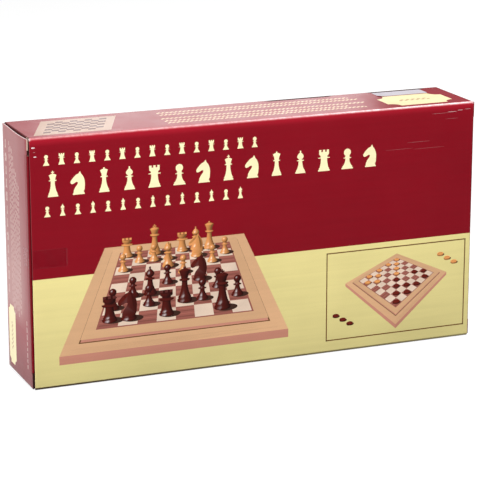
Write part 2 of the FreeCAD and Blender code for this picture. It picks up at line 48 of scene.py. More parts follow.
MM = 0.001
ROOT = "carton_and_contents"
SIDES = {"left": -1, "right": 1}
LEVELS = {"lower": -1, "upper": 1}


def box_mm(node):
    low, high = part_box(node)
    return low / MM, high / MM


# Carton sizes, from the frame
sleeve_low, sleeve_high = box_mm("carton_sleeve")
flap_low, flap_high = box_mm("right_end_flap")
tab_low, tab_high = box_mm("right_tuck_tab")
dust_low, dust_high = box_mm("right_upper_dust_flap")
END = flap_high.x
FRONT_END = sleeve_high.x
FRONT = sleeve_low.y
BACK = sleeve_high.y
DEPTH = BACK - FRONT
HEIGHT = sleeve_high.z
BOARD = flap_high.x - flap_low.x
HINGE_Y = BACK - BOARD / 2
SHOULDER_Y = flap_low.y
TAB_Y = tab_low.y + BOARD / 2
DUST_OUT = dust_high.x

# Board and crease details
CREASE = 2.0
CREASE_STEPS = 8
CREASE_GAP = 0.1
CUT_STEP = 0.25
LINER = 0.3
GROOVE = 1.1
CRUSH = 0.55
CRUSH_STEPS = 5
FLAP_CRUSH = 0.5
FLAP_RIM = 0.8
RIM_WEAR = 0.8
CORE_START = 1.1
FLUTE_PITCH = 3.3
TAB_LENGTH = tab_high.x - tab_low.x - BOARD / 2
TAB_LEAN = math.radians(4)
TAB_CORNER = 12.0
TAB_EDGE_GAP = 0.1
TAB_BEVEL = 2.1
DUST_LENGTH = dust_high.z - dust_low.z - BOARD / 2
DUST_TAPER = 24.5
DUST_CORNER = 6.0
FLAP_DIP = 1.0
FLAP_DIP_REACH = 34.0
EDGE_WAVE = 0.3
CORNER_RUB = 1.2
END_RINGS = 0.012
EDGE_RUB_AND_HIGHLIGHT = 0.12
FOLD_BAND = 5.0
FOLD_MARGIN = 3.5
FLAP_PAINTED_HAZE = 0.42
FLAP_PALE_START = 6.0
FLAP_PALE_REACH = 22.0
FLAP_PALE_FOOT = 45.0
FLAP_PALE_RISE = 15.0
FLAP_PALE_HIGH = 90.0
FLAP_PALE_FALL = 60.0
FLAP_PALE_LEFT = 0.4
FLAP_FOOT_SHADE = 0.6
NOTCH_PALE = 10.5
BEND_HIGHLIGHT_REACH = 5.0
CREASE_WEAR_AND_HIGHLIGHT_LEAN = 1.5
CREASE_WEAR_AND_HIGHLIGHT_EDGE = 1.4
CREASE_WEAR_AND_HIGHLIGHT_MIDDLE = 0.65
CREASE_WEAR_AND_HIGHLIGHT_SLOPE = 0.35
SLEEVE_ROUND = 78.0
FLAP_ROUND = 75.0
SLIT_PLAY = 0.4
SLIT_STEP = 0.02

# Inks, as linear colours
RED = (0.235, 0.0032, 0.011)
CREAM = (0.77, 0.67, 0.285)
PALE_CREAM = (0.98, 0.88, 0.53)
BROWN = (0.15, 0.065, 0.018)
TAN = (0.68, 0.40, 0.22)
TAN_SIDE = (0.54, 0.235, 0.165)
LIGHT_SQUARE = (0.78, 0.60, 0.47)
DARK_SQUARE = (0.32, 0.105, 0.080)
LIGHT_MAN = (0.74, 0.31, 0.10)
DARK_MAN = (0.085, 0.007, 0.004)
PLAQUE = (0.78, 0.69, 0.40)
TOP_FIELD = (0.42, 0.27, 0.20)
SCUFF = (0.80, 0.62, 0.62)
# Painted shade: dark brown on the two bottom creases
PAINTED_BOTTOM_SHADE = (0.055, 0.028, 0.014)
SHADED = (0.10, 0.004, 0.007)
# Painted highlight: a brighter red where the front bends over into the top
BEND_HIGHLIGHT_RED = (0.40, 0.010, 0.024)
PALE_PINK = (0.58, 0.40, 0.36)
CREAM_TOP = 92.0
CREAM_FOOT_SHADE = 0.84
CREAM_SHADE_RISE = 0.25
INK_EDGE = 0.04
INK_SINK = 0.01
INK_LAYER = 0.006
ROW_RISE = 0.0007


def mixed(first, second, share):
    return tuple(a + (b - a) * share for a, b in zip(first, second))


def scaled(colour, factor):
    return tuple(value * factor for value in colour)


# Node helpers

class Nodes:
    """A new node material, with short calls that add and join its nodes."""

    def __init__(self, name):
        self.material = bpy.data.materials.new(name)
        self.material.use_nodes = True
        self.tree = self.material.node_tree
        self.shader = self.tree.nodes["Principled BSDF"]
        self.place = self.add("ShaderNodeTexCoord").outputs["Object"]

    def add(self, kind, **settings):
        node = self.tree.nodes.new(kind)
        for key, value in settings.items():
            setattr(node, key, value)
        return node

    def feed(self, socket, value):
        if isinstance(value, bpy.types.NodeSocket):
            self.tree.links.new(value, socket)
        elif isinstance(value, tuple) and len(value) == 3 and socket.type == "RGBA":
            socket.default_value = (*value, 1.0)
        else:
            socket.default_value = value

    def set(self, **values):
        for key, value in values.items():
            self.feed(self.shader.inputs[key.replace("_", " ")], value)

    def math(self, operation, first, second=0.0):
        node = self.add("ShaderNodeMath", operation=operation)
        self.feed(node.inputs[0], first)
        self.feed(node.inputs[1], second)
        return node.outputs[0]

    def ramp(self, value, low, high, start=0.0, stop=1.0):
        node = self.add("ShaderNodeMapRange")
        for socket, item in zip(node.inputs, (value, low, high, start, stop)):
            self.feed(socket, item)
        return node.outputs[0]

    def vary(self, value, start=0.0, stop=1.0):
        """Spreads the middle range of a noise from start to stop."""
        return self.ramp(value, 0.3, 0.7, start, stop)

    def mix(self, share, first, second, blend="MIX"):
        node = self.add("ShaderNodeMix", data_type="RGBA", blend_type=blend)
        self.feed(node.inputs[0], share)
        self.feed(node.inputs[6], first)
        self.feed(node.inputs[7], second)
        return node.outputs[2]

    def stretch(self, scale):
        node = self.add("ShaderNodeMapping")
        self.feed(node.inputs["Vector"], self.place)
        node.inputs["Scale"].default_value = scale
        return node.outputs[0]

    def noise(self, scale, detail=3.0, place=None, roughness=0.5):
        node = self.add("ShaderNodeTexNoise")
        self.feed(node.inputs["Vector"], place or self.place)
        node.inputs["Scale"].default_value = scale
        node.inputs["Detail"].default_value = detail
        node.inputs["Roughness"].default_value = roughness
        return node.outputs[0]

    def value(self, name, output="Fac"):
        return self.add("ShaderNodeAttribute", attribute_name=name).outputs[output]

    def bump(self, height, distance, below=None):
        node = self.add("ShaderNodeBump")
        node.inputs["Distance"].default_value = distance
        self.feed(node.inputs["Height"], height)
        if below:
            self.feed(node.inputs["Normal"], below)
        return node.outputs[0]


# Materials

def printed_board(name, haze, gloss_index, foot_haze=None):
    """Gloss-varnished print on fluted board: ink tint, mottle, flute lines, scuffed creases partly painted
    as highlight, and a haze.

    Where foot_haze is given, the haze grows from it over the lowest part of the board."""
    haze_low, haze_high = 0.01, 0.07
    n = Nodes(name)
    mottle = n.vary(n.noise(2600.0, 2.0), 0.94, 1.06)
    cloud = n.vary(n.noise(14.0, 3.0), 0.95, 1.05)
    streaks = n.vary(n.noise(300.0, 3.0, n.stretch((0.03, 1.0, 1.0))), 0.975, 1.025)
    tone = n.math("MULTIPLY", n.math("MULTIPLY", mottle, cloud), streaks)
    ink = n.mix(1.0, n.value("tint", "Color"), tone, "MULTIPLY")
    # The wear attribute mixes in a pale pink: rubbed ink, partly a painted highlight on creases and rounded
    # cut edges
    rub = n.math("MULTIPLY", n.value("wear"), n.ramp(n.noise(420.0, 4.0), 0.38, 0.62, 0.6, 1.0))
    n.set(Base_Color=n.mix(rub, ink, (0.92, 0.82, 0.82)))
    gloss = n.vary(n.noise(60.0, 4.0), 0.16, 0.24)
    n.set(Roughness=n.math("ADD", gloss, n.math("MULTIPLY", rub, 0.3)))
    if foot_haze is not None:
        height = n.add("ShaderNodeSeparateXYZ")
        n.feed(height.inputs[0], n.place)
        haze = n.ramp(height.outputs["Z"], haze_low, haze_high, foot_haze, haze)
    n.set(IOR=gloss_index, Sheen_Weight=haze, Sheen_Roughness=0.35)
    lines = n.math("SINE", n.math("MULTIPLY", n.value("flute"), 2 * math.pi))
    washboard = n.bump(lines, 0.000006)
    n.set(Normal=n.bump(n.noise(22.0, 2.0), 0.0006, washboard))
    return n.material


def kraft_liner():
    """Plain inner liner: grey-brown paper with fibres and faint flute lines."""
    n = Nodes("kraft_liner")
    fibre = n.noise(900.0, 5.0, n.stretch((0.25, 1.0, 1.0)), 0.65)
    fleck = n.ramp(n.noise(3200.0, 2.0), 0.66, 0.72)
    paper = n.mix(n.vary(fibre), (0.36, 0.25, 0.15), (0.50, 0.37, 0.24))
    n.set(Base_Color=n.mix(fleck, paper, (0.20, 0.13, 0.08)), Roughness=0.86, IOR=1.4)
    lines = n.math("SINE", n.math("MULTIPLY", n.value("flute"), 2 * math.pi))
    n.set(Normal=n.bump(fibre, 0.00006, n.bump(lines, 0.00002)))
    return n.material


def raw_edge():
    """Cut edge of the board: pale beige paper layers."""
    n = Nodes("raw_edge")
    fibre = n.noise(2400.0, 4.0, None, 0.7)
    n.set(Base_Color=n.mix(n.vary(fibre), (0.46, 0.31, 0.235), (0.68, 0.50, 0.41)))
    n.set(Roughness=0.9, IOR=1.35, Normal=n.bump(fibre, 0.00008))
    return n.material


def dark_core():
    """Inside of the board, painted dark as shade: fluted paper that hardly catches the light."""
    n = Nodes("dark_core")
    fibre = n.noise(1500.0, 4.0, None, 0.7)
    n.set(Base_Color=n.mix(n.vary(fibre), (0.030, 0.010, 0.009), (0.060, 0.020, 0.018)))
    n.set(Roughness=0.95, Specular_IOR_Level=0.05)
    return n.material


def clear_film():
    """Clear adhesive tape: a faint cast over what it covers, paler along its edges, with fine ripples whose
    crests are mixed towards a mid red, on the front a painted highlight.
    """
    n = Nodes("clear_film")
    ripple = n.noise(260.0, 3.0, n.stretch((1.0, 1.0, 0.35)))
    # On the dark front film the crest colour is a painted highlight on the ripples
    crest = n.ramp(ripple, 0.6, 0.8, 0.0, 0.3)
    n.set(Base_Color=n.mix(crest, n.value("tint", "Color"), (0.30, 0.12, 0.13)))
    cover = n.ramp(ripple, 0.3, 0.75, 0.03, 0.06)
    n.set(Alpha=n.math("ADD", cover, n.math("MULTIPLY", n.value("wear"), 0.1)))
    n.set(Roughness=n.vary(ripple, 0.08, 0.2), IOR=1.2)
    n.set(Normal=n.bump(ripple, 0.00006))
    return n.material


def label_paper():
    """White self-adhesive paper with a faint fibre and soiled edges."""
    n = Nodes("label_paper")
    fibre = n.noise(1800.0, 4.0, None, 0.65)
    grime = n.ramp(n.noise(90.0, 4.0), 0.45, 0.75, 0.0, 0.35)
    white = n.mix(n.vary(fibre), (0.43, 0.405, 0.44), (0.48, 0.455, 0.495))
    n.set(Base_Color=n.mix(grime, white, (0.37, 0.34, 0.36)), Roughness=0.8, IOR=1.1)
    n.set(Normal=n.bump(fibre, 0.00003))
    return n.material


def wood(name, pale, deep, gloss, along, grain=1.0):
    """Lacquered wood: long grain streaks along one axis, pores and slow bands."""
    n = Nodes(name)
    squeeze = tuple(0.07 if axis else 1.0 for axis in along)
    streaks = n.noise(170.0 * grain, 6.0, n.stretch(squeeze), 0.62)
    bands = n.noise(38.0 * grain, 3.0, n.stretch(squeeze), 0.55)
    pores = n.ramp(n.noise(1500.0 * grain, 2.0, n.stretch(squeeze)), 0.60, 0.72, 0.0, 0.55)
    tone = n.mix(n.ramp(streaks, 0.32, 0.68), pale, deep)
    tone = n.mix(n.ramp(bands, 0.35, 0.7, 0.0, 0.45), tone, scaled(deep, 0.8))
    n.set(Base_Color=n.mix(pores, tone, scaled(deep, 0.45)))
    n.set(Roughness=n.vary(streaks, gloss - 0.05, gloss + 0.08), IOR=1.46)
    n.set(Normal=n.bump(n.math("SUBTRACT", streaks, pores), 0.00004))
    return n.material


def lining_foam():
    """Flocked foam lining: short green pile with a soft sheen."""
    n = Nodes("lining_foam")
    pile = n.noise(3000.0, 3.0, None, 0.7)
    nap = n.noise(46.0, 3.0)
    green = n.mix(n.vary(pile), (0.018, 0.085, 0.042), (0.045, 0.17, 0.085))
    n.set(Base_Color=n.mix(n.ramp(nap, 0.4, 0.7, 0.0, 0.4), green, (0.06, 0.20, 0.11)))
    n.set(Roughness=0.95, Sheen_Weight=0.5, Sheen_Roughness=0.5, Normal=n.bump(pile, 0.0003))
    return n.material


def brass():
    """Pressed brass, with fine brushing and a brown bloom in places."""
    n = Nodes("brass")
    brush = n.noise(900.0, 3.0, n.stretch((0.06, 1.0, 1.0)))
    bloom = n.ramp(n.noise(160.0, 4.0), 0.45, 0.75, 0.0, 0.5)
    n.set(Base_Color=n.mix(bloom, (0.80, 0.56, 0.22), (0.46, 0.27, 0.09)), Metallic=1.0)
    n.set(Roughness=n.vary(brush, 0.22, 0.38), Normal=n.bump(brush, 0.00001))
    return n.material


MATERIALS = {
    "print": printed_board("printed_board", 0.05, 1.16),
    "flap_print": printed_board("printed_flap", 0.2, 1.2, 0.02),
    "kraft": kraft_liner(),
    "raw": raw_edge(),
    "core": dark_core(),
    "film": clear_film(),
    "label": label_paper(),
    "foam": lining_foam(),
}


# Mesh helpers

class Shape:
    """Points and faces of one piece, in millimetres, with what its materials read at each point."""

    def __init__(self, warp=None):
        self.points = []
        self.tints = []
        self.wears = []
        self.flutes = []
        self.faces = []
        self.kinds = []
        self.warp = warp

    def point(self, place, tint=RED, wear=0.0, flute=0.0):
        place = Vector(place)
        if self.warp:
            place = self.warp(place)
        self.points.append(place * MM)
        self.tints.append(tint)
        self.wears.append(wear)
        self.flutes.append(flute)
        return len(self.points) - 1

    def face(self, corners, kind):
        self.faces.append(corners)
        self.kinds.append(kind)

    def loft(self, loops, kind_of, ring=False, caps=None):
        """Joins closed loops of points; kind_of names the surface after loop i and point j."""
        count = len(loops[0])
        last = len(loops) if ring else len(loops) - 1
        for i in range(last):
            here, there = loops[i], loops[(i + 1) % len(loops)]
            for j in range(count):
                k = (j + 1) % count
                self.face((here[j], here[k], there[k], there[j]), kind_of(i, j))
        if caps:
            self.face(tuple(loops[0]), caps[0])
            self.face(tuple(loops[-1]), caps[1])

    def piece(self, name, body, slot, replaces=()):
        mesh = bpy.data.meshes.new(name)
        mesh.from_pydata(self.points, [], self.faces)
        kinds = sorted(set(self.kinds))
        for kind in kinds:
            mesh.materials.append(MATERIALS[kind])
        mesh.polygons.foreach_set("material_index", [kinds.index(kind) for kind in self.kinds])
        tint = mesh.attributes.new("tint", "FLOAT_COLOR", "POINT")
        tint.data.foreach_set("color", [value for colour in self.tints for value in (*colour, 1.0)])
        for key, values in (("wear", self.wears), ("flute", self.flutes)):
            mesh.attributes.new(key, "FLOAT", "POINT").data.foreach_set("value", values)
        work = bmesh.new()
        work.from_mesh(mesh)
        bmesh.ops.recalc_face_normals(work, faces=work.faces)
        work.to_mesh(mesh)
        work.free()
        mesh.polygons.foreach_set("use_smooth", [True] * len(mesh.polygons))
        mesh.set_sharp_from_angle(angle=math.radians(35))
        thing = bpy.data.objects.new(name, mesh)
        bpy.context.scene.collection.objects.link(thing)
        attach(thing, body)
        if replaces:
            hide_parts(*replaces)
        return thing


def within(value):
    return min(max(value, 0.0), 1.0)


def spread(start, stop, count):
    return [start + (stop - start) * step / count for step in range(count + 1)]


def swings(start, stop, count):
    """Angles from start to stop in degrees, given in radians."""
    return [math.radians(angle) for angle in spread(start, stop, count)]


def rounded(radius, angle):
    """Depth and setback of a rounded cut, at an angle from the face."""
    return radius * (1 - math.cos(angle)), radius * (1 - math.sin(angle))


def close_rim(shape, top, under, kind):
    """Faces between two loops of points."""
    for j in range(len(top)):
        k = (j + 1) % len(top)
        shape.face((top[j], top[k], under[k], under[j]), kind)


def closed_sheet(shape, tops, unders, kind):
    """Faces of a thin closed sheet between two grids of points."""
    for sheet in (tops, unders):
        for here, there in zip(sheet, sheet[1:]):
            for j in range(len(here) - 1):
                shape.face((here[j], here[j + 1], there[j + 1], there[j]), kind)
    close_rim(shape, edge_loop(tops), edge_loop(unders), kind)


# Carton sleeve

def perimeter():
    """Stations round the sleeve: place, outward direction, end, overhang, tint, wear, flute count.

    The long top and bottom panels overhang as a skin that runs out over the creases of the dust flaps."""
    top_end = DUST_OUT - BOARD - CREASE_GAP
    back_end = END - BOARD - CREASE_GAP
    skin = BOARD / 2 + CREASE_GAP
    rises = spread(CREASE + CUT_STEP, CREAM_TOP - INK_EDGE, 20)
    rises += spread(CREAM_TOP, HEIGHT - CREASE - CUT_STEP, 26)
    depths = spread(CREASE + CUT_STEP, DEPTH - CREASE - CUT_STEP, 18)
    panels = [
        ([(FRONT, z) for z in rises], (-1, 0), FRONT_END, 0.0),
        ([(FRONT + y, HEIGHT) for y in depths], (0, 1), top_end, skin),
        ([(BACK, z) for z in reversed(rises)], (1, 0), back_end, 0.0),
        ([(BACK - y, 0) for y in depths], (0, -1), top_end, skin),
    ]
    corners = [(FRONT, HEIGHT), (BACK, HEIGHT), (BACK, 0), (FRONT, 0)]
    corner_ends = [FRONT_END, back_end, back_end, FRONT_END]
    stations = []
    travel = CREASE
    for index, (places, out, end, overhang) in enumerate(panels):
        for place in places:
            on_cream = out[0] and place[1] < CREAM_TOP - INK_EDGE / 2
            # Painted shade: the cream darkens towards the foot of the panel
            cream_shading = CREAM_FOOT_SHADE + CREAM_SHADE_RISE * place[1] / CREAM_TOP
            tint = scaled(CREAM, cream_shading) if on_cream else RED
            if index == 0:
                # Painted highlight: the front's red brightens over the last few millimetres below the top
                # crease
                tint = mixed(tint, BEND_HIGHLIGHT_RED, max(0.0, 1 - (HEIGHT - CREASE - place[1]) / BEND_HIGHLIGHT_REACH))
            flute = (travel + math.dist(places[0], place)) / FLUTE_PITCH
            stations.append((place, out, end, overhang, tint, 0.0, flute))
        travel += math.dist(places[0], places[-1]) + 2 * CUT_STEP
        following = panels[(index + 1) % len(panels)][1]
        centre = tuple(c - CREASE * (o + f) for c, o, f in zip(corners[index], out, following))
        first = math.atan2(out[1], out[0])
        for step in range(CREASE_STEPS + 1):
            angle = first - math.pi / 2 * step / CREASE_STEPS
            turn = (math.cos(angle), math.sin(angle))
            place = (centre[0] + turn[0] * CREASE, centre[1] + turn[1] * CREASE)
            wear = 0.0
            # Rubbed ink on the front-top crease, partly a painted highlight
            if index == 0 and 0 < step < CREASE_STEPS:
                wear = math.sin(math.pi * (step / CREASE_STEPS) ** CREASE_WEAR_AND_HIGHLIGHT_LEAN) ** CREASE_WEAR_AND_HIGHLIGHT_EDGE
            # Crease tints: painted highlight on the front-top crease, painted shade on the back-top crease
            # and on both bottom creases
            tint = (BEND_HIGHLIGHT_RED, SHADED, PAINTED_BOTTOM_SHADE, PAINTED_BOTTOM_SHADE)[index]
            flute = (travel + 2 * CREASE * step / CREASE_STEPS) / FLUTE_PITCH
            stations.append((place, turn, corner_ends[index], 0.0, tint, wear, flute))
        travel += 2 * CREASE
    return stations


def cut_end(place, end, side):
    """Where the board is cut at one end, a little uneven."""
    wobble = noise.noise(Vector((place[0] / 16, place[1] / 16, 7.0 * side)))
    return side * (end - EDGE_WAVE * (0.5 + 0.5 * wobble))


def carton_sleeve():
    stations = perimeter()
    shape = Shape()
    shares = spread(0.0, END_RINGS, 3) + spread(0.03, 0.97, 40) + spread(1 - END_RINGS, 1.0, 3)
    angles = swings(0.0, SLEEVE_ROUND, CRUSH_STEPS)

    def outer_end(end, overhang, side, place, angle):
        """Depth and x on the rounded cut, or under the skin of an overhang."""
        if overhang:
            return BOARD / 2 * (1 - math.cos(angle)), side * (end + overhang - BOARD / 2 * math.sin(angle))
        depth, setback = rounded(CRUSH, angle)
        return depth, cut_end(place, end, side) - side * setback

    def ring(depth_and_x):
        points = []
        for place, out, end, overhang, tint, wear, flute in stations:
            depth, x = depth_and_x(place, end, overhang)
            rub = max(0.0, 1 - (FRONT_END - abs(x)) / CORNER_RUB) if wear else 0.0
            spot = (x, place[0] - out[0] * depth, place[1] - out[1] * depth)
            # The painted shade on the bottom creases is mixed a little with cream, more towards the right
            ink = mixed(PAINTED_BOTTOM_SHADE, CREAM, 0.2 * (1 + x / END)) if tint == PAINTED_BOTTOM_SHADE else tint
            ink = SHADED if overhang and depth else ink
            # Rounded cut ends turn pale towards the cut: rubbed ink, partly a painted highlight
            if not overhang and depth < CRUSH:
                ink = mixed(ink, SCUFF, EDGE_RUB_AND_HIGHLIGHT * depth / CRUSH)
            # Rubbed crease, partly a painted highlight that grows towards the right end
            crease_wear_and_highlight = wear * (CREASE_WEAR_AND_HIGHLIGHT_MIDDLE + CREASE_WEAR_AND_HIGHLIGHT_SLOPE * x / END)
            points.append(shape.point(spot, ink, max(crease_wear_and_highlight, rub), flute))
        return points

    def outer_ring(share):
        def depth_and_x(place, end, overhang):
            left = outer_end(end, overhang, -1, place, 0.0)[1]
            right = outer_end(end, overhang, 1, place, 0.0)[1]
            return 0.0, left + (right - left) * share
        return ring(depth_and_x)

    def rounded_ring(side, angle):
        return ring(lambda place, end, overhang: outer_end(end, overhang, side, place, angle))

    def cut_ring(side, depth, recess):
        return ring(lambda place, end, overhang: (depth, cut_end(place, end, side) - side * recess))

    def inner_ring(share):
        def depth_and_x(place, end, overhang):
            left, right = cut_end(place, end, -1), cut_end(place, end, 1)
            return BOARD, left + (right - left) * share
        return ring(depth_and_x)

    groove = [(CRUSH, 0.0), (CRUSH, GROOVE), (BOARD - LINER, GROOVE), (BOARD - LINER, 0.0)]
    rings = [rounded_ring(-1, angle) for angle in reversed(angles)]
    rings += [outer_ring(share) for share in shares[1:-1]]
    rings += [rounded_ring(1, angle) for angle in angles]
    outer_count = len(rings) - 1
    rings += [cut_ring(1, depth, recess) for depth, recess in groove]
    inner_start = len(rings)
    rings += [inner_ring(share) for share in reversed(shares)]
    inner_stop = len(rings) - 1
    rings += [cut_ring(-1, depth, recess) for depth, recess in reversed(groove)]

    frayed = [station[5] > 0 for station in stations]
    in_front = [station[1] == (-1, 0) for station in stations]

    def kind_of(i, j):
        if i < outer_count:
            return "print"
        if inner_start <= i < inner_stop:
            return "kraft"
        step = i - outer_count if i < inner_start else i - inner_stop
        if frayed[j]:
            return "print"
        # Cut faces in the groove and at the front panel's ends take the dark core, painted shade
        return "core" if 0 < step < len(groove) or in_front[j] else "raw"

    shape.loft(rings, kind_of, ring=True)
    shape.piece("carton_board", ROOT, "printed_board", ["carton_sleeve"])


# End flaps, tuck tabs and dust flaps

def flap_warp(place):
    """The flap's top edge dips towards its front corner."""
    across = within((HINGE_Y - place.y) / (HINGE_Y - SHOULDER_Y))
    near_top = max(0.0, 1 - (flap_high.z - place.z) / FLAP_DIP_REACH)
    return place - Vector((0, 0, FLAP_DIP * math.sin(math.pi * across ** 1.4) * near_top ** 2))


def end_flap(name, side):
    shape = Shape(flap_warp)
    tab_edge = TAB_Y + BOARD / 2 + TAB_EDGE_GAP
    slit_low = tab_low.z - SLIT_PLAY
    slit_high = tab_high.z + SLIT_PLAY
    rounding = [(FLAP_RIM, 0.0)]
    rounding += [rounded(FLAP_CRUSH, angle) for angle in swings(FLAP_ROUND, 0.0, CRUSH_STEPS)]
    levels = [(flap_low.z + rise, False, sunk) for sunk, rise in rounding]
    levels += [(z, False, 0.0) for z in spread(flap_low.z + FLAP_CRUSH, slit_low, 4)[1:]]
    levels += [(z, True, 0.0) for z in spread(slit_low + SLIT_STEP, slit_high - SLIT_STEP, 30)]
    levels += [(z, False, 0.0) for z in spread(slit_high, flap_high.z - FLAP_CRUSH, 6)[:-1]]
    levels += [(flap_high.z - rise, False, sunk) for sunk, rise in reversed(rounding)]
    columns = 14
    bead_steps = 6
    outer = columns + bead_steps
    inner = outer + columns

    def section(z, folded, sunk):
        """One level of the flap: outer face, crease bead, inner face, front edge."""
        front = tab_edge if folded else SHOULDER_Y
        inner_front = TAB_Y + TAB_BEVEL if folded else SHOULDER_Y
        path = [(sunk, y) for y in [front] + spread(front + FOLD_BAND, HINGE_Y, columns - 1)]
        for step in range(1, bead_steps):
            angle = math.pi * step / bead_steps
            depth = BOARD / 2 + (sunk - BOARD / 2) * math.cos(angle)
            path.append((depth, HINGE_Y + BOARD / 2 * math.sin(angle)))
        path += [(BOARD, y) for y in spread(HINGE_Y, inner_front, columns)]
        inside = BOARD - LINER / 2
        for depth, groove in ((inside, 0), (inside, 1), (CORE_START, 1), (CORE_START, 0)):
            y = front + (inner_front - front) * depth / BOARD + (0.0 if folded else GROOVE * groove)
            path.append((max(depth, sunk), y))
        loop = []
        for index, (depth, y) in enumerate(path):
            # Painted reflection: a pale pink haze on the flap's face, growing away from the fold and above
            # the foot, and less towards the top
            paler = within((y - front - FLAP_PALE_START) / FLAP_PALE_REACH)
            paler *= within((z - FLAP_PALE_FOOT) / FLAP_PALE_RISE)
            paler *= 1 - (1 - FLAP_PALE_LEFT) * within((z - FLAP_PALE_HIGH) / FLAP_PALE_FALL)
            # Painted shade: the flap's face darkens towards its foot
            painted_foot_shade = FLAP_FOOT_SHADE * within(1 - z / FLAP_PALE_FOOT)
            face = mixed(mixed(RED, PALE_PINK, FLAP_PAINTED_HAZE * paler), SHADED, painted_foot_shade)
            tint = SHADED if index >= inner else face
            if folded and index == 0:
                tint = mixed(RED, SHADED, 0.3)
            wear = min(1.0, RIM_WEAR * sunk / FLAP_CRUSH)
            loop.append(shape.point((side * (END - depth), y, z), tint, wear, z / FLUTE_PITCH))
        return loop

    loops = [section(*level) for level in levels]

    def kind_of(i, j):
        folded = levels[i][1] and levels[min(i + 1, len(levels) - 1)][1]
        if j >= inner:
            if folded or side > 0:
                return "print"
            pale = j == inner + 4 and levels[i][0] > flap_high.z - NOTCH_PALE
            return "raw" if pale else "core"
        if j >= outer:
            return "kraft"
        return "print" if j == 0 else "flap_print"

    shape.loft(loops, kind_of, caps=("core", "core"))
    shape.piece(name + "_flap_board", name + "_end_flap", "printed_board", [name + "_end_flap"])


def tongue(shape, start, along, across, out, length, width_at, tint):
    """A flap with a round crease at its start; width_at gives its two edges at a run from the crease."""
    half = BOARD / 2
    bend_steps = 5
    columns = 8
    bluntness = 0.93
    runs = [-half * math.cos(math.pi / 2 * step / bend_steps) for step in range(1, bend_steps + 1)]
    runs += spread(0.5, length, 36)
    loops = []

    def section(run, thick, inset):
        low, high = width_at(max(0.0, min(run, length)))
        low, high = low + inset, high - inset
        loop = []
        faces = ((half - thick, low, high), (thick - half, high, low))
        for side, first, last in faces:
            for edge in spread(first, last, columns):
                place = start + along * run + across * edge + out * side
                loop.append(shape.point(place, tint, 0.0, edge / FLUTE_PITCH))
        return loop

    for run in runs:
        thick = half - math.sqrt(max(half ** 2 - run ** 2, 0.0)) if run < 0 else 0.0
        loops.append(section(run, min(thick, half * bluntness), 0.0))
    loops.append(section(length, LINER, LINER))
    loops.append(section(length - GROOVE, LINER, LINER))

    def kind_of(i, j):
        if i >= len(runs) - 1 or j % (columns + 1) == columns:
            return "raw"
        return "print" if j < columns else "kraft"

    shape.loft(loops, kind_of, caps=("print", "raw"))


def corner_inset(run, length, radius):
    """How far a rounded tip corner draws the side edge in."""
    past = run - (length - radius)
    if past <= 0:
        return 0.0
    return radius - math.sqrt(max(radius ** 2 - past ** 2, 0.0)) * 0.98


def tuck_tab(name, side):
    shape = Shape()
    start = Vector((side * (END - BOARD / 2), TAB_Y, 0))
    along = Vector((-side * math.cos(TAB_LEAN), math.sin(TAB_LEAN), 0))
    out = Vector((-side * math.sin(TAB_LEAN), -math.cos(TAB_LEAN), 0))

    def width_at(run):
        inset = corner_inset(run, TAB_LENGTH, TAB_CORNER)
        return tab_low.z + inset, tab_high.z - inset

    tongue(shape, start, along, Vector((0, 0, 1)), out, TAB_LENGTH, width_at, mixed(SHADED, RED, 0.6))
    shape.piece(name + "_tab_board", name + "_tuck_tab", "printed_board", [name + "_tuck_tab"])


def dust_flap(name, side, level_name, level):
    shape = Shape()
    crease_z = HEIGHT - BOARD / 2 if level > 0 else BOARD / 2
    start = Vector((side * (DUST_OUT - BOARD / 2), 0, crease_z))

    def width_at(run):
        inset = corner_inset(run, DUST_LENGTH, DUST_CORNER)
        return dust_low.y + inset, dust_high.y - DUST_TAPER * run / DUST_LENGTH - inset

    along = Vector((0, 0, -level))
    out = Vector((side, 0, 0))
    tongue(shape, start, along, Vector((0, 1, 0)), out, DUST_LENGTH, width_at, SHADED)
    node = name + "_" + level_name + "_dust_flap"
    shape.piece(name + "_" + level_name + "_dust_board", node, "printed_board", [node])


# Printing

class Panel:
    """A flat printed face: where u, v millimetres from its lower left corner lie, seen from outside."""

    def __init__(self, origin, along, up, flute_start=0.0):
        self.origin = Vector(origin)
        self.along = Vector(along)
        self.up = Vector(up)
        self.out = self.along.cross(self.up)
        self.flute_start = flute_start

    def place(self, u, v, lift):
        return self.origin + self.along * u + self.up * v + self.out * lift


class Print:
    """Ink on a panel, as thin closed sheets stacked in numbered layers."""

    def __init__(self, panel, warp=None, kind="print"):
        self.panel = panel
        self.shape = Shape(warp)
        self.kind = kind

    def point(self, u, v, lift, tint):
        flute = (self.panel.flute_start + v) / FLUTE_PITCH
        return self.shape.point(self.panel.place(u, v, lift), tint, 0.0, flute)

    def grid(self, rows, tint_at, layer):
        """A sheet through rows of (u, v) points, where later rows lie over earlier ones."""
        tops = []
        unders = []
        for i, row in enumerate(rows):
            lift = layer * INK_LAYER + ROW_RISE * i
            for sheet, level in ((tops, lift), (unders, lift - INK_LAYER)):
                sheet.append([self.point(u, v, level, tint_at(i, j)) for j, (u, v) in enumerate(row)])
        closed_sheet(self.shape, tops, unders, self.kind)

    def patch(self, outline, tint, layer):
        """A flat outline in one tint, or in the tint that a function gives at each corner."""
        tint_at = tint if callable(tint) else lambda u, v: tint
        top = [self.point(u, v, layer * INK_LAYER, tint_at(u, v)) for u, v in outline]
        under = [self.point(u, v, -INK_SINK, tint_at(u, v)) for u, v in outline]
        self.shape.face(tuple(top), self.kind)
        self.shape.face(tuple(reversed(under)), self.kind)
        close_rim(self.shape, top, under, self.kind)

    def piece(self, name, body):
        self.shape.piece(name, body, "printed_board")


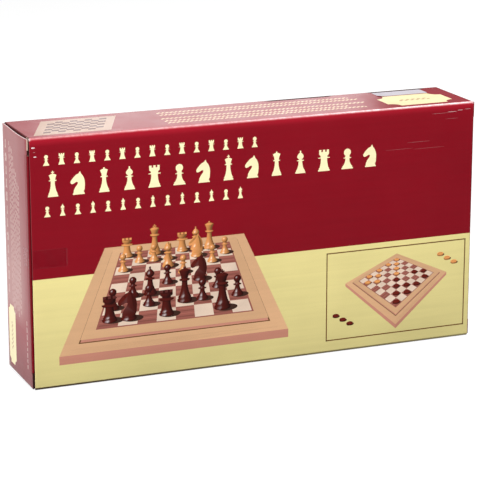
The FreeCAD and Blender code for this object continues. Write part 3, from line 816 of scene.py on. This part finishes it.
def edge_loop(rows):
    """The rim of a grid of points, once round."""
    rim = list(rows[0])
    rim += [row[-1] for row in rows[1:]]
    rim += list(reversed(rows[-1]))[1:]
    rim += [row[0] for row in reversed(rows[1:-1])]
    return rim


def rectangle(u0, v0, u1, v1):
    return [(u0, v0), (u1, v0), (u1, v1), (u0, v1)]


def ellipse(u, v, across, up, steps=28):
    angles = [2 * math.pi * step / steps for step in range(steps)]
    return [(u + across * math.cos(angle), v + up * math.sin(angle)) for angle in angles]


def smooth(points, steps=4):
    """A closed curve through the points."""
    result = []
    count = len(points)
    for index in range(count):
        before, here, there, after = [Vector(points[(index + k) % count]) for k in (-1, 0, 1, 2)]
        for step in range(steps):
            t = step / steps
            bend = (here * 2 + (there - before) * t + (before * 2 - here * 5 + there * 4 - after) * t ** 2
                    + (here * 3 - before - there * 3 + after) * t ** 3) / 2
            result.append((bend.x, bend.y))
    return result


# Outlines of the chessmen, for a height of 1

# Radius of the foot, radius of the waist and height of the neck
MEN_SHAPES = {
    "pawn": (0.30, 0.105, 0.52),
    "rook": (0.29, 0.155, 0.60),
    "knight": (0.26, 0.20, 0.20),
    "bishop": (0.235, 0.085, 0.54),
    "queen": (0.21, 0.078, 0.60),
    "king": (0.20, 0.078, 0.60),
}
# Heights, as shares of the board's side
MEN_HEIGHTS = {"king": 0.2, "queen": 0.18, "bishop": 0.152, "knight": 0.145, "rook": 0.125, "pawn": 0.105}
KNIGHT_HEAD = [
    (0.20, 0.12), (0.27, 0.35), (0.265, 0.58), (0.205, 0.77), (0.115, 0.89), (0.07, 0.99), (0.0, 0.905),
    (-0.10, 0.86), (-0.22, 0.755), (-0.325, 0.63), (-0.355, 0.54), (-0.305, 0.47), (-0.205, 0.49),
    (-0.105, 0.545), (-0.03, 0.525), (-0.06, 0.43), (-0.16, 0.30), (-0.20, 0.12),
]
KNIGHT_FACE = [
    (-0.34, 0.60), (-0.20, 0.72), (-0.08, 0.84), (0.0, 0.89), (-0.02, 0.80), (-0.12, 0.68), (-0.26, 0.575),
]
KNIGHT_MANE = [
    (0.19, 0.30), (0.225, 0.50), (0.17, 0.74), (0.09, 0.88), (0.065, 0.86), (0.11, 0.70), (0.14, 0.50),
]


def arc(radius, height, start, stop, steps=8):
    turns = swings(start, stop, steps)
    return [(radius * math.cos(angle), height + radius * math.sin(angle)) for angle in turns]


def turned_outline(kind):
    """Radius and height up the side of a turned man."""
    foot, waist, neck = MEN_SHAPES[kind]
    outline = [(foot, 0.0), (foot, 0.055), (foot * 0.84, 0.085), (foot * 0.9, 0.12)]
    for share in spread(0.1, 1.0, 8):
        radius = waist + (foot * 0.82 - waist) * (1 - share) ** 2.2
        outline.append((radius, 0.13 + (neck - 0.13) * share))
    if kind == "knight":
        return outline
    outline += [(waist * 1.9, neck + 0.012), (waist * 1.9, neck + 0.04), (waist * 1.1, neck + 0.055)]
    if kind == "pawn":
        outline += arc(0.185, 0.815, -55, 88)
    elif kind == "rook":
        outline += [(0.17, 0.72), (0.245, 0.78), (0.245, 0.90)]
    elif kind == "bishop":
        for share in spread(0.05, 0.96, 9):
            outline.append((0.145 * math.sin(math.pi * share ** 0.8) + 0.01, 0.60 + 0.33 * share))
        outline += arc(0.035, 0.962, -30, 85, 5)
    elif kind == "queen":
        outline += [(0.10, 0.68), (0.105, 0.74), (0.165, 0.895), (0.125, 0.90), (0.09, 0.925), (0.03, 0.94)]
        outline += arc(0.034, 0.965, -30, 85, 5)
    else:
        outline += [(0.10, 0.68), (0.105, 0.72), (0.15, 0.83), (0.12, 0.85), (0.05, 0.88), (0.022, 0.885)]
    return outline


def trims(kind):
    """Small flat outlines on top of a man: merlons, a cross."""
    if kind == "rook":
        return [rectangle(u - 0.055, 0.895, u + 0.055, 1.0) for u in (-0.19, 0.0, 0.19)]
    if kind == "king":
        return [rectangle(-0.018, 0.88, 0.018, 1.0), rectangle(-0.055, 0.925, 0.055, 0.96)]
    return []


def flat_man(ink, kind, u, v, height, tint):
    """A man as a plain silhouette."""
    side = turned_outline(kind)
    whole = side + [(-radius, rise) for radius, rise in reversed(side)]
    outlines = [whole] + trims(kind)
    if kind == "knight":
        outlines.append(smooth(KNIGHT_HEAD))
    for index, outline in enumerate(outlines):
        ink.patch([(u + x * height, v + y * height) for x, y in outline], tint, FLAT_LAYER + index)


# Pictures of the board and men, drawn in perspective

LAMP = Vector((-0.52, 0.55, 0.65)).normalized()
GLINT = (LAMP + Vector((0, 0.95, 0.3))).normalized()
LOOK_DOWN = 0.30
UPRIGHT = 0.95
SOFT_LIGHT = 0.22
LAMP_LIGHT = 0.95
GLINT_SHARPNESS = 80
SHADOW = (0.045, 0.018, 0.012)
DISC_SHADOW = (0.05, 0.02, 0.012)


class Picture:
    """A board of side 1 drawn in perspective on a panel."""

    def __init__(self, ink, u, v, distance, eye, focal, turn):
        self.ink = ink
        self.u = u
        self.v = v
        self.distance = distance
        self.eye = eye
        self.focal = focal
        self.turn = math.radians(turn)

    def scale(self, a, b):
        away = a * math.sin(self.turn) + b * math.cos(self.turn)
        return self.focal / (self.distance + away)

    def place(self, a, b, h=0.0):
        right = a * math.cos(self.turn) - b * math.sin(self.turn)
        size = self.scale(a, b)
        level = self.v + (self.eye * self.focal / self.distance)
        return self.u + right * size, level - (self.eye - h) * size

    def square(self, low_a, low_b, high_a, high_b, h):
        return [self.place(a, b, h) for a, b in rectangle(low_a, low_b, high_a, high_b)]


def wood_tint(colour, seed):
    """A tint that changes a little from corner to corner, as sawn wood does."""
    return lambda u, v: scaled(colour, 1 + 0.22 * noise.noise(Vector((u / 9, v / 9, seed))))


def draw_board(picture):
    """The wooden board: sides, ledge, raised field and squares."""
    ink = picture.ink
    thick, raise_up, ledge, margin = 0.036, 0.012, 0.07, 0.135
    corners = rectangle(-0.5, -0.5, 0.5, 0.5)
    for index in range(4):
        a0, b0 = corners[index]
        a1, b1 = corners[(index + 1) % 4]
        side = [picture.place(a0, b0), picture.place(a1, b1),
                picture.place(a1, b1, -thick), picture.place(a0, b0, -thick)]
        if side[1][0] - side[0][0] > 0.5:
            ink.patch(side, wood_tint(TAN_SIDE, index), 4)
    ink.patch(picture.square(-0.5, -0.5, 0.5, 0.5, 0.0), wood_tint(TAN, 3.1), 5)
    inner = 0.5 - ledge
    gap = 0.006
    ink.patch(picture.square(-inner - gap, -inner - gap, inner + gap, inner, 0.0), scaled(BROWN, 0.8), 6)
    ink.patch(picture.square(-inner, -inner, inner, inner, 0.0), wood_tint(TAN_SIDE, 4.4), 6.5)
    ink.patch(picture.square(-inner, -inner, inner, inner, raise_up), wood_tint(scaled(TAN, 1.03), 5.7), 7)
    # Fine streaks of grain along the near rail
    for k in range(9):
        rail = -0.5 + 0.006 + 0.0036 * k
        streak = picture.square(-0.48 + 0.02 * (k % 3), rail, 0.1 + 0.09 * (k % 5), rail + 0.0009, 0.0)
        ink.patch(streak, scaled(TAN, 0.8), 6)
    start = -0.5 + margin
    step = (1 - 2 * margin) / 8
    rim = 0.008
    edging = picture.square(start - rim, start - rim, -start + rim, -start + rim, raise_up)
    ink.patch(edging, DARK_SQUARE, 8)
    for column in range(8):
        for row in range(8):
            dark = (column + row) % 2 == 0
            low_a, low_b = start + column * step, start + row * step
            cell = picture.square(low_a, low_b, low_a + step, low_b + step, raise_up)
            tint = wood_tint(DARK_SQUARE if dark else LIGHT_SQUARE, column + 3.7 * row)
            ink.patch(cell, tint, 9)
            for k in range(4 if dark else 0):
                low = low_b + step * (0.12 + 0.22 * k)
                grain = picture.square(low_a, low, low_a + step, low + step * 0.08, raise_up)
                ink.patch(grain, scaled(DARK_SQUARE, 1.25 if k % 2 else 0.72), 9.3)
    return start, step, raise_up


def lit(colour, normal, shine=0.75):
    """A drawn surface's tint under the picture's lamp."""
    diffuse = max(0.0, normal.dot(LAMP))
    glint = max(0.0, normal.dot(GLINT)) ** GLINT_SHARPNESS
    return tuple(min(1.0, value * (SOFT_LIGHT + LAMP_LIGHT * diffuse) + shine * glint) for value in colour)


def draw_man(picture, kind, light, a, b, h, layer):
    """A turned man, shaded round its axis, with its shadow on the board."""
    ink = picture.ink
    colour = LIGHT_MAN if light else DARK_MAN
    size = picture.scale(a, b)
    height = MEN_HEIGHTS[kind] * size
    u, v = picture.place(a, b, h)
    foot = MEN_SHAPES[kind][0] * height
    shadow = ellipse(u + foot * 0.55, v - foot * 0.02, foot * 1.35, foot * 0.42)
    ink.patch(shadow, SHADOW, SHADOW_LAYER)
    outline = turned_outline(kind)
    angles = swings(-88, 88, 12)
    rows = []
    slopes = []
    for index, (radius, rise) in enumerate(outline):
        before = outline[max(index - 1, 0)]
        after = outline[min(index + 1, len(outline) - 1)]
        slopes.append(Vector((after[1] - before[1], before[0] - after[0])).normalized())
        reach = radius * height
        level = v + rise * height * UPRIGHT
        rows.append([(u + reach * math.sin(angle), level - reach * LOOK_DOWN * math.cos(angle))
                     for angle in angles])

    def tint_at(i, j):
        side, up = slopes[i]
        return lit(colour, Vector((side * math.sin(angles[j]), side * math.cos(angles[j]), up)))

    def drawn(points):
        return [(u + x * height, v + y * height * UPRIGHT) for x, y in points]

    def head_tint(x, y):
        return lit(colour, Vector(((x - u) / height * 2.4, 0.75, 0.3)).normalized(), 0.1)

    ink.grid(rows, tint_at, layer)
    above = layer + 3
    if kind == "knight":
        ink.patch(drawn(smooth(KNIGHT_HEAD)), head_tint, above)
        for points, factor in ((KNIGHT_FACE, 1.25), (KNIGHT_MANE, 0.5)):
            ink.patch(drawn(smooth(points)), scaled(colour, factor * (0.55 if light else 1.0)), above + 0.5)
        eye = ellipse(u - 0.12 * height, v + 0.72 * height, 0.018 * height, 0.022 * height, 10)
        ink.patch(eye, scaled(colour, 0.25), above + 1)
    if kind == "rook":
        radius, rise = outline[-1]
        hollow = ellipse(u, v + rise * height * UPRIGHT, radius * height, radius * height * LOOK_DOWN)
        ink.patch(hollow, scaled(colour, 0.4), above)
    for points in trims(kind):
        mark = drawn([(x, y - 0.03) for x, y in points])
        ink.patch(mark, lit(colour, Vector((-0.3, 0.9, 0.3)).normalized(), 0.12), above + 1)


def draw_disc(ink, u, v, radius, light, layer):
    """A draughtsman lying flat: shadow, side band, top and turned ring."""
    colour = LIGHT_MAN if light else scaled(DARK_MAN, 1.5)
    flat = 0.46
    thick = radius * 0.36

    def round_mark(drop, share, tone, rise):
        outline = ellipse(u, v - drop, radius * share, radius * flat * share)
        ink.patch(outline, scaled(colour, tone), layer + rise)

    ink.patch(ellipse(u + radius * 0.25, v - thick, radius * 1.1, radius * flat), DISC_SHADOW, layer)
    round_mark(thick, 1.0, 0.5, 1)
    ink.patch(rectangle(u - radius, v - thick, u + radius, v), scaled(colour, 0.5), layer + 1.5)
    round_mark(0.0, 1.0, 1.25, 2)
    round_mark(0.0, 0.72, 0.66, 2.5)
    round_mark(thick * 0.1, 0.62, 1.1, 3)


# Layout of the print, in millimetres on the panels. Layers: dark strips 1, flat print from 2, boards 4 to
# 9, shadows 10, men and discs above.

DARK_STRIP_LAYER = 1
FLAT_LAYER = 2
SHADOW_LAYER = 10
MEN_LAYER = 11
RANK_LAYERS = 5
# Rows of small men on the large faces: u, v, height, pitch, count and kinds
HEADING_ROWS = (
    (15.0, 184.0, 10.5, 12.6, 15, ("pawn", "rook")),
    (20.0, 158.5, 21.0, 21.2, 14, ("king", "knight", "queen", "bishop", "rook", "pawn", "knight")),
    (15.0, 142.5, 10.5, 12.6, 14, ("pawn", "bishop")),
)
# Men and discs on the two pictured boards, from the far rank to the near one: capitals are light, small
# letters dark
MEN_MARKS = {"k": "king", "q": "queen", "b": "bishop", "n": "knight", "r": "rook", "p": "pawn"}
BOARD_MEN = (
    "R.K.RBQ.", ".PPP.N.P", "P..B..P.", "....P...", "...p.n..", ".pb...p.", "p.p.qp.p", "rn.r..k.",
)
BOARD_DISCS = (
    ".O.O.O.O", "O.O...O.", ".O...O..", "....O...", "...o....", "..o...o.", ".o.o...o", "o.o.o.o.",
)
# Rows of squares on the top: v, start and stop
TOP_RIBBONS = (
    (14.0, 122.0, 300.0), (21.0, 122.0, 286.0), (30.0, 122.0, 306.0), (44.0, 126.0, 306.0),
    (52.0, 126.0, 300.0),
)
# Bare places on the front: u, v, length, thickness and how far the ink is gone
SCUFF_MARKS = (
    (4.6, 199.0, 3.2, 1.1, 1.0), (6.0, 191.7, 2.8, 1.0, 1.0), (360.0, 198.7, 16.0, 0.3, 0.25),
    (371.0, 199.3, 9.0, 0.4, 0.7), (378.5, 200.1, 5.0, 0.4, 0.9), (385.5, 200.6, 6.0, 0.35, 0.5),
    (340.0, 176.0, 22.0, 0.35, 0.14), (322.0, 171.0, 26.0, 0.3, 0.12), (350.0, 170.0, 30.0, 0.3, 0.12),
    (371.0, 193.5, 12.0, 0.3, 0.15), (5.4, 195.4, 2.0, 0.5, 0.3),
)


def ranks(table, start, step):
    """Mark, place on the board and rank, counted from the far one, of each man in a table."""
    for index, rank in enumerate(table):
        row = len(table) - 1 - index
        for column, mark in enumerate(rank):
            if mark != ".":
                yield mark, start + step * (column + 0.5), start + step * (row + 0.5), index


def ribbon(ink, u, v, length, square, tint, layer, upright=False):
    """Two rows of alternating squares."""
    for step in range(int(length / square)):
        start = step * square
        side = (step % 2) * square
        low = (u + side, v + start) if upright else (u + start, v + side)
        ink.patch(rectangle(*low, low[0] + square, low[1] + square), tint, layer)


def dashes(ink, u, low, high, tint):
    """An upright column of small dashes of unequal length."""
    v = low
    while v < high:
        length = 3.5 + 2.5 * noise.noise(Vector((u, v, 5.0)))
        ink.patch(rectangle(u, v, u + 1.7, v + length), tint, FLAT_LAYER)
        v += length + 1.6


def ticket(ink, u, v, width, height, square, upright=False):
    """A cream plaque with scooped corners and a band of squares."""
    scoop = min(width, height) * 0.22
    outline = []
    for turn, (x, y) in enumerate(((1, 1), (-1, 1), (-1, -1), (1, -1))):
        corner_u = u + x * width / 2
        corner_v = v + y * height / 2
        for swing in swings(90 * turn - 90, 90 * turn - 180, 7):
            outline.append((corner_u + scoop * math.cos(swing), corner_v + scoop * math.sin(swing)))
    ink.patch(outline, PLAQUE, FLAT_LAYER)
    run = (height if upright else width) * 0.5
    low = (u - square, v - run / 2) if upright else (u - run / 2, v - square)
    ribbon(ink, *low, run, square, mixed(RED, PLAQUE, 0.4), FLAT_LAYER + 1, upright)


def print_main_face(ink):
    """The large faces: rows of small men, the board picture and the framed discs."""
    for u, v, height, pitch, count, kinds in HEADING_ROWS:
        for index in range(count):
            kind = kinds[index % len(kinds)]
            size = height * (0.62 + 0.38 * MEN_HEIGHTS[kind] / MEN_HEIGHTS["king"])
            flat_man(ink, kind, u + pitch * index, v, size, PALE_CREAM)
    picture = Picture(ink, 122.0, 80.0, 2.0, 1.08, 300.0, 0.0)
    start, step, top = draw_board(picture)
    for mark, a, b, rank in ranks(BOARD_MEN, start, step):
        layer = MEN_LAYER + RANK_LAYERS * rank
        draw_man(picture, MEN_MARKS[mark.lower()], mark.isupper(), a, b, top, layer)
    framed_discs(ink, 256.5, 10.5, 387.0, 87.5)


def framed_discs(ink, u0, v0, u1, v1):
    """A thin frame round a small board set cornerwise, with discs on it and beside it."""
    line = 1.0
    for low, high in (((u0, v0), (u1, v0 + line)), ((u0, v1 - line), (u1, v1)),
                      ((u0, v0), (u0 + line, v1)), ((u1 - line, v0), (u1, v1))):
        ink.patch(rectangle(*low, *high), BROWN, FLAT_LAYER)
    picture = Picture(ink, (u0 + u1) / 2, v0 + 49.0, 2.2, 1.3, 148.0, 45.0)
    start, step, top = draw_board(picture)
    for mark, a, b, rank in ranks(BOARD_DISCS, start, step):
        u, v = picture.place(a, b, top + 0.01)
        draw_disc(ink, u, v, 0.038 * picture.scale(a, b), mark.isupper(), MEN_LAYER)
    for index in range(3):
        layer = MEN_LAYER + 4 * index
        draw_disc(ink, u0 + 9.0 + 6.5 * index, v0 + 22.0 - 4.0 * index, 2.9, False, layer)
        draw_disc(ink, u1 - 24.0 + 6.5 * index, v0 + 66.0 - 4.0 * index, 2.9, True, layer)


def print_top(ink):
    """The long top: a small chequered field, rows of fine squares and a plaque."""
    ink.patch([(8.0, 9.0), (72.0, 9.0), (93.0, 59.0), (29.0, 59.0)], TOP_FIELD, FLAT_LAYER)
    lean = 21.0 / 50.0
    wide, tall = 6.2, 4.8
    slide = lean * tall
    for column in range(8):
        for row in range(8):
            if (column + row) % 2 == 0:
                v = 15.0 + tall * row
                u = 15.0 + wide * column + lean * (v - 9.0)
                cell = [(u, v), (u + wide, v), (u + wide + slide, v + tall), (u + slide, v + tall)]
                ink.patch(cell, scaled(DARK_SQUARE, 0.35), FLAT_LAYER + 1)
    for v, start, stop in TOP_RIBBONS:
        ribbon(ink, start, v, stop - start, 1.9, mixed(RED, PALE_CREAM, 0.6), FLAT_LAYER)
    ticket(ink, 349.0, 27.0, 60.0, 39.0, 2.6)


def print_flap(ink):
    """The end flaps: a column of small men, columns of fine dashes and a plaque."""
    kinds = ("king", "rook", "pawn", "bishop", "knight", "queen")
    for index in range(12):
        flat_man(ink, kinds[index % len(kinds)], 8.0, 66.0 + 11.0 * index, 7.5, mixed(RED, PALE_PINK, 0.8))
    for column in range(8):
        low = 60.0 - 4.0 * (column % 3)
        dashes(ink, 17.0 + 3.4 * column, low, 196.0 - 5.0 * column, mixed(RED, PALE_PINK, 0.65))
    dashes(ink, 55.0, 14.0, 52.0, mixed(RED, PALE_PINK, 0.7))
    ticket(ink, 13.5, 31.0, 19.0, 50.0, 1.8, True)


def scuffs(ink):
    """Small bare places rubbed through the ink."""
    steps = 14
    for u, v, length, thick, share in SCUFF_MARKS:
        outline = []
        for step in range(steps):
            angle = 2 * math.pi * step / steps
            ragged = 1 + 0.3 * noise.noise(Vector((u, v, 2.0 * step)))
            across = length / 2 * math.cos(angle) * ragged
            outline.append((u + across, v + thick / 2 * math.sin(angle) * ragged))
        ink.patch(outline, mixed(RED, SCUFF, share), FLAT_LAYER)


def back_dark_strips(ink):
    """Dark strips along the top's back crease."""
    slope = 6.0
    for u0, u1 in ((226.0, 292.0), (322.0, 379.0)):
        far, near = DEPTH - 2.0, DEPTH - 5.6
        ink.patch([(u0, far), (u0 + slope, near), (u1 - slope, near), (u1, far)], RED, DARK_STRIP_LAYER)


def print_face(name, body, panel, drawings, warp=None, kind="print"):
    """One panel's print, made by functions that draw on it."""
    ink = Print(panel, warp, kind)
    for drawing in drawings:
        drawing(ink)
    ink.piece(name, body)


def print_carton():
    upright = (0, 0, 1)
    front = Panel((-END, FRONT, 0), (1, 0, 0), upright)
    back = Panel((END, BACK, 0), (-1, 0, 0), upright)
    top = Panel((-END, FRONT, HEIGHT), (1, 0, 0), (0, 1, 0), HEIGHT)
    left = Panel((-END, BACK, 0), (0, -1, 0), upright)
    right = Panel((END, FRONT + FOLD_MARGIN, 0), (0, 1, 0), upright)
    print_face("front_print", ROOT, front, [print_main_face, scuffs])
    print_face("back_print", ROOT, back, [print_main_face])
    print_face("top_print", ROOT, top, [print_top])
    print_face("top_back_dark_strips", ROOT, top, [back_dark_strips], None, "core")
    print_face("left_flap_print", "left_end_flap", left, [print_flap], flap_warp, "flap_print")
    print_face("right_flap_print", "right_end_flap", right, [print_flap], flap_warp, "flap_print")


# Tape seal and label

def thin_sheet(shape, panel, rows, thick, kind, lift_at, look_at=lambda u, v: (RED, 0.0)):
    """A closed sheet over rows of (u, v), lifted off its panel a little in places."""
    tops = []
    unders = []
    for row in rows:
        for sheet, rise in ((tops, thick), (unders, 0.0)):
            sheet.append([shape.point(panel.place(u, v, lift_at(u, v) + rise), *look_at(u, v))
                          for u, v in row])
    closed_sheet(shape, tops, unders, kind)


def tape_seal():
    """Clear tape over the front left edge, slit there, with a toothed cut at each end."""
    tooth = 0.9
    edge = 0.45
    thick = 0.05
    pale_edge = (0.42, 0.10, 0.12)
    front = Panel((-END, FRONT, 0), (1, 0, 0), (0, 0, 1))
    flap = Panel((-END, BACK, 0), (0, -1, 0), (0, 0, 1))
    pieces = (
        ("front_tape_film", "seal_tape_on_front", ROOT, front, (0.012, 0.001, 0.004), 0.004),
        # The flap's film takes a pale pink tint: a painted reflection of the glossy film seen at a slant
        ("flap_tape_film", "seal_tape_on_flap", "left_end_flap", flap, (0.72, 0.52, 0.50), 0.035),
    )
    for name, node, body, panel, cast, lift in pieces:
        low, high = box_mm(node)
        on_front = body == ROOT
        start, stop = (low.x + END, high.x + END) if on_front else (BACK - high.y, BACK - low.y)
        middle = spread(low.z + edge, high.z - edge, 32)
        rows = []
        for step, v in enumerate([low.z] + middle + [high.z]):
            bite = tooth * (step % 2)
            first, last = (start + 0.2, stop - bite) if on_front else (start + bite, stop)
            rows.append([(u, v) for u in spread(first, last, 40)])

        def look_at(u, v):
            at_edge = v < low.z + edge / 2 or v > high.z - edge / 2
            at_tooth = u > stop - tooth - edge if on_front else u < start + tooth + edge
            return (pale_edge, 1.0) if at_edge or at_tooth else (cast, 0.0)

        shape = Shape()
        thin_sheet(shape, panel, rows, thick, "film", lambda u, v: lift, look_at)
        shape.piece(name, body, "clear_tape", [node])


def top_label():
    """Blank paper label, one corner lifting a little."""
    panel = Panel((-END, FRONT, HEIGHT), (1, 0, 0), (0, 1, 0))
    low, high = box_mm("price_label")
    u0, u1 = low.x + END, high.x + END
    v0, v1 = low.y - FRONT, high.y - FRONT
    radius = 1.4

    def lift_at(u, v):
        corner = max(0.0, 1 - math.dist((u, v), (u0, v0)) / 7.0)
        return 0.03 + 0.7 * corner ** 2

    rows = []
    for v in spread(v0, v1, 16):
        inset = max(0.0, radius - min(v - v0, v1 - v))
        trim = radius - math.sqrt(max(radius ** 2 - inset ** 2, 0.0))
        rows.append([(u, v) for u in spread(u0 + trim, u1 - trim, 30)])
    shape = Shape()
    thin_sheet(shape, panel, rows, 0.09, "label", lift_at)
    shape.piece("top_label", ROOT, "label_paper", ["price_label"])


# Case and men inside

def foam_pads():
    """Soft lining pads, crowned, with drawn-in edges."""
    steps = 96
    squareness = 0.12
    draw_in = 2.0
    for half in ("front", "back"):
        node = half + "_foam_pad"
        low, high = box_mm(node)
        middle = (low + high) / 2
        size = high - low
        shape = Shape()
        loops = []
        for share in spread(-1.0, 1.0, 16):
            drawn_in = draw_in * (1 - max((1 - abs(share) ** 6) ** (1 / 6), 0.35))
            loop = []
            for step in range(steps):
                angle = 2 * math.pi * step / steps
                c, s = math.cos(angle), math.sin(angle)
                round_x = math.copysign(abs(c) ** squareness, c) * (size.x / 2 - drawn_in)
                round_z = math.copysign(abs(s) ** squareness, s) * (size.z / 2 - drawn_in)
                place = (middle.x + round_x, middle.y + share * size.y / 2, middle.z + round_z)
                loop.append(shape.point(place))
            loops.append(loop)
        shape.loft(loops, lambda i, j: "foam", caps=("foam", "foam"))
        pad = shape.piece(half + "_lining_pad", ROOT, "lining_foam", [node])


def dress_contents():
    """Finishes of the case, its fittings and the men."""
    across = (1.0, 0.0, 0.0)
    upright = (0.0, 0.0, 1.0)
    case = wood("case_wood", (0.62, 0.36, 0.17), (0.42, 0.21, 0.09), 0.32, across)
    side_case = wood("case_side_wood", (0.62, 0.36, 0.17), (0.42, 0.21, 0.09), 0.32, upright)
    ply = wood("deck_plywood", (0.60, 0.43, 0.25), (0.48, 0.31, 0.17), 0.5, across, 0.8)
    border = wood("border_veneer", (0.66, 0.41, 0.20), (0.50, 0.27, 0.12), 0.28, across)
    pale = wood("light_veneer", (0.74, 0.52, 0.29), (0.60, 0.38, 0.18), 0.28, upright, 1.4)
    dark = wood("dark_veneer", (0.20, 0.085, 0.04), (0.10, 0.04, 0.02), 0.28, upright, 1.4)
    pale_men = wood("light_men_wood", (0.68, 0.38, 0.14), (0.50, 0.24, 0.07), 0.25, across, 1.6)
    dark_men = wood("dark_men_wood", (0.12, 0.032, 0.018), (0.055, 0.014, 0.009), 0.22, across, 1.6)
    metal = brass()
    finishes = (
        ("_spine_rail", case), ("_outer_rail", case), ("_left_rail", side_case), ("_right_rail", side_case),
        ("_deck", ply), ("_field_panel", ply), ("_field_border", border), ("_light_squares", pale),
        ("_dark_squares", dark), ("lane_dividers", ply), ("hinge", metal), ("clasp", metal),
        ("light_", pale_men), ("dark_", dark_men),
    )
    for name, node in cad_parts.items():
        for part_of_name, finish in finishes:
            if part_of_name in name and not node.hide_render:
                node.data.materials.clear()
                node.data.materials.append(finish)
                break


# Stage, lights and camera

def stage():
    """A wide white floor; to the camera and in reflections it is a little brighter than its own shade."""
    mesh = bpy.data.meshes.new("floor")
    reach = 9.0
    corners = [(x * reach, y * reach, 0.0) for x, y in rectangle(-1, -1, 1, 1)]
    mesh.from_pydata(corners, [], [(0, 1, 2, 3)])
    floor = bpy.data.objects.new("floor", mesh)
    floor.location.z = -0.0003
    bpy.context.scene.collection.objects.link(floor)
    n = Nodes("floor_white")
    ray = n.add("ShaderNodeLightPath")
    seen = n.math("MAXIMUM", ray.outputs["Is Camera Ray"], ray.outputs["Is Glossy Ray"])
    seen = n.math("MAXIMUM", seen, ray.outputs["Is Transmission Ray"])
    n.set(Base_Color=n.mix(seen, (0.10, 0.10, 0.10), (0.25, 0.25, 0.25)), Roughness=0.9, IOR=1.2)
    n.set(Emission_Color=(1.0, 1.0, 1.0), Emission_Strength=n.math("MULTIPLY", seen, 0.80))
    mesh.materials.append(n.material)


def lights():
    """A plain white world and six area lamps: place, target, width, height and power."""
    world = bpy.data.worlds.new("studio")
    world.use_nodes = True
    bpy.context.scene.world = world
    background = world.node_tree.nodes["Background"]
    background.inputs["Color"].default_value = (1.0, 1.0, 1.0, 1.0)
    background.inputs["Strength"].default_value = 0.25
    lamps = (
        ("key", (-0.2, -1.25, 1.35), (0, 0, 0.1), 0.8, 0.8, 33.5),
        ("left_soft", (-1.5, 0.2, 0.26), (-0.2, 0, 0.2), 2.2, 0.46, 24.0),
        ("overhead", (0.1, 0.1, 2.3), (0, 0, 0.1), 1.6, 1.6, 24.0),
        ("side_fill", (2.0, 1.2, 1.6), (0, 0, 0.1), 1.2, 1.2, 22.0),
        ("top_glare", (0.44, 1.2, 0.50), (0, 0, 0.2), 0.48, 0.5, 0.8),
        ("backdrop", (0.18, 1.25, 0.50), (0.18, 0, 0.35), 1.06, 0.6, 1.5),
    )
    for name, place, target, width, height, power in lamps:
        light = bpy.data.lights.new(name, "AREA")
        light.shape = "RECTANGLE"
        light.size = width
        light.size_y = height
        light.energy = power
        lamp = bpy.data.objects.new(name, light)
        lamp.location = place
        lamp.rotation_euler = (Vector(target) - Vector(place)).to_track_quat("-Z", "Y").to_euler()
        bpy.context.scene.collection.objects.link(lamp)


def camera():
    """The photograph's viewpoint: slightly above, to the left of the front."""
    azimuth = math.radians(-22.14)
    elevation = math.radians(15.163)
    eye = Vector((-0.6552, -1.6011, 0.5654))
    focal_pixels = 2139.8
    picture_pixels = 480
    data = bpy.data.cameras.new("camera")
    data.sensor_width = 36.0
    data.lens = data.sensor_width * focal_pixels / picture_pixels
    view = bpy.data.objects.new("camera", data)
    view.location = eye
    back = Vector((math.sin(azimuth) * math.cos(elevation), -math.cos(azimuth) * math.cos(elevation),
                   math.sin(elevation)))
    view.rotation_euler = back.to_track_quat("Z", "Y").to_euler()
    bpy.context.scene.collection.objects.link(view)
    bpy.context.scene.camera = view


carton_sleeve()
for side_name, side_sign in SIDES.items():
    end_flap(side_name, side_sign)
    tuck_tab(side_name, side_sign)
    for level_name, level_sign in LEVELS.items():
        dust_flap(side_name, side_sign, level_name, level_sign)
print_carton()
tape_seal()
top_label()
foam_pads()
dress_contents()
stage()
lights()
camera()
bpy.context.scene.view_settings.view_transform = "Standard"
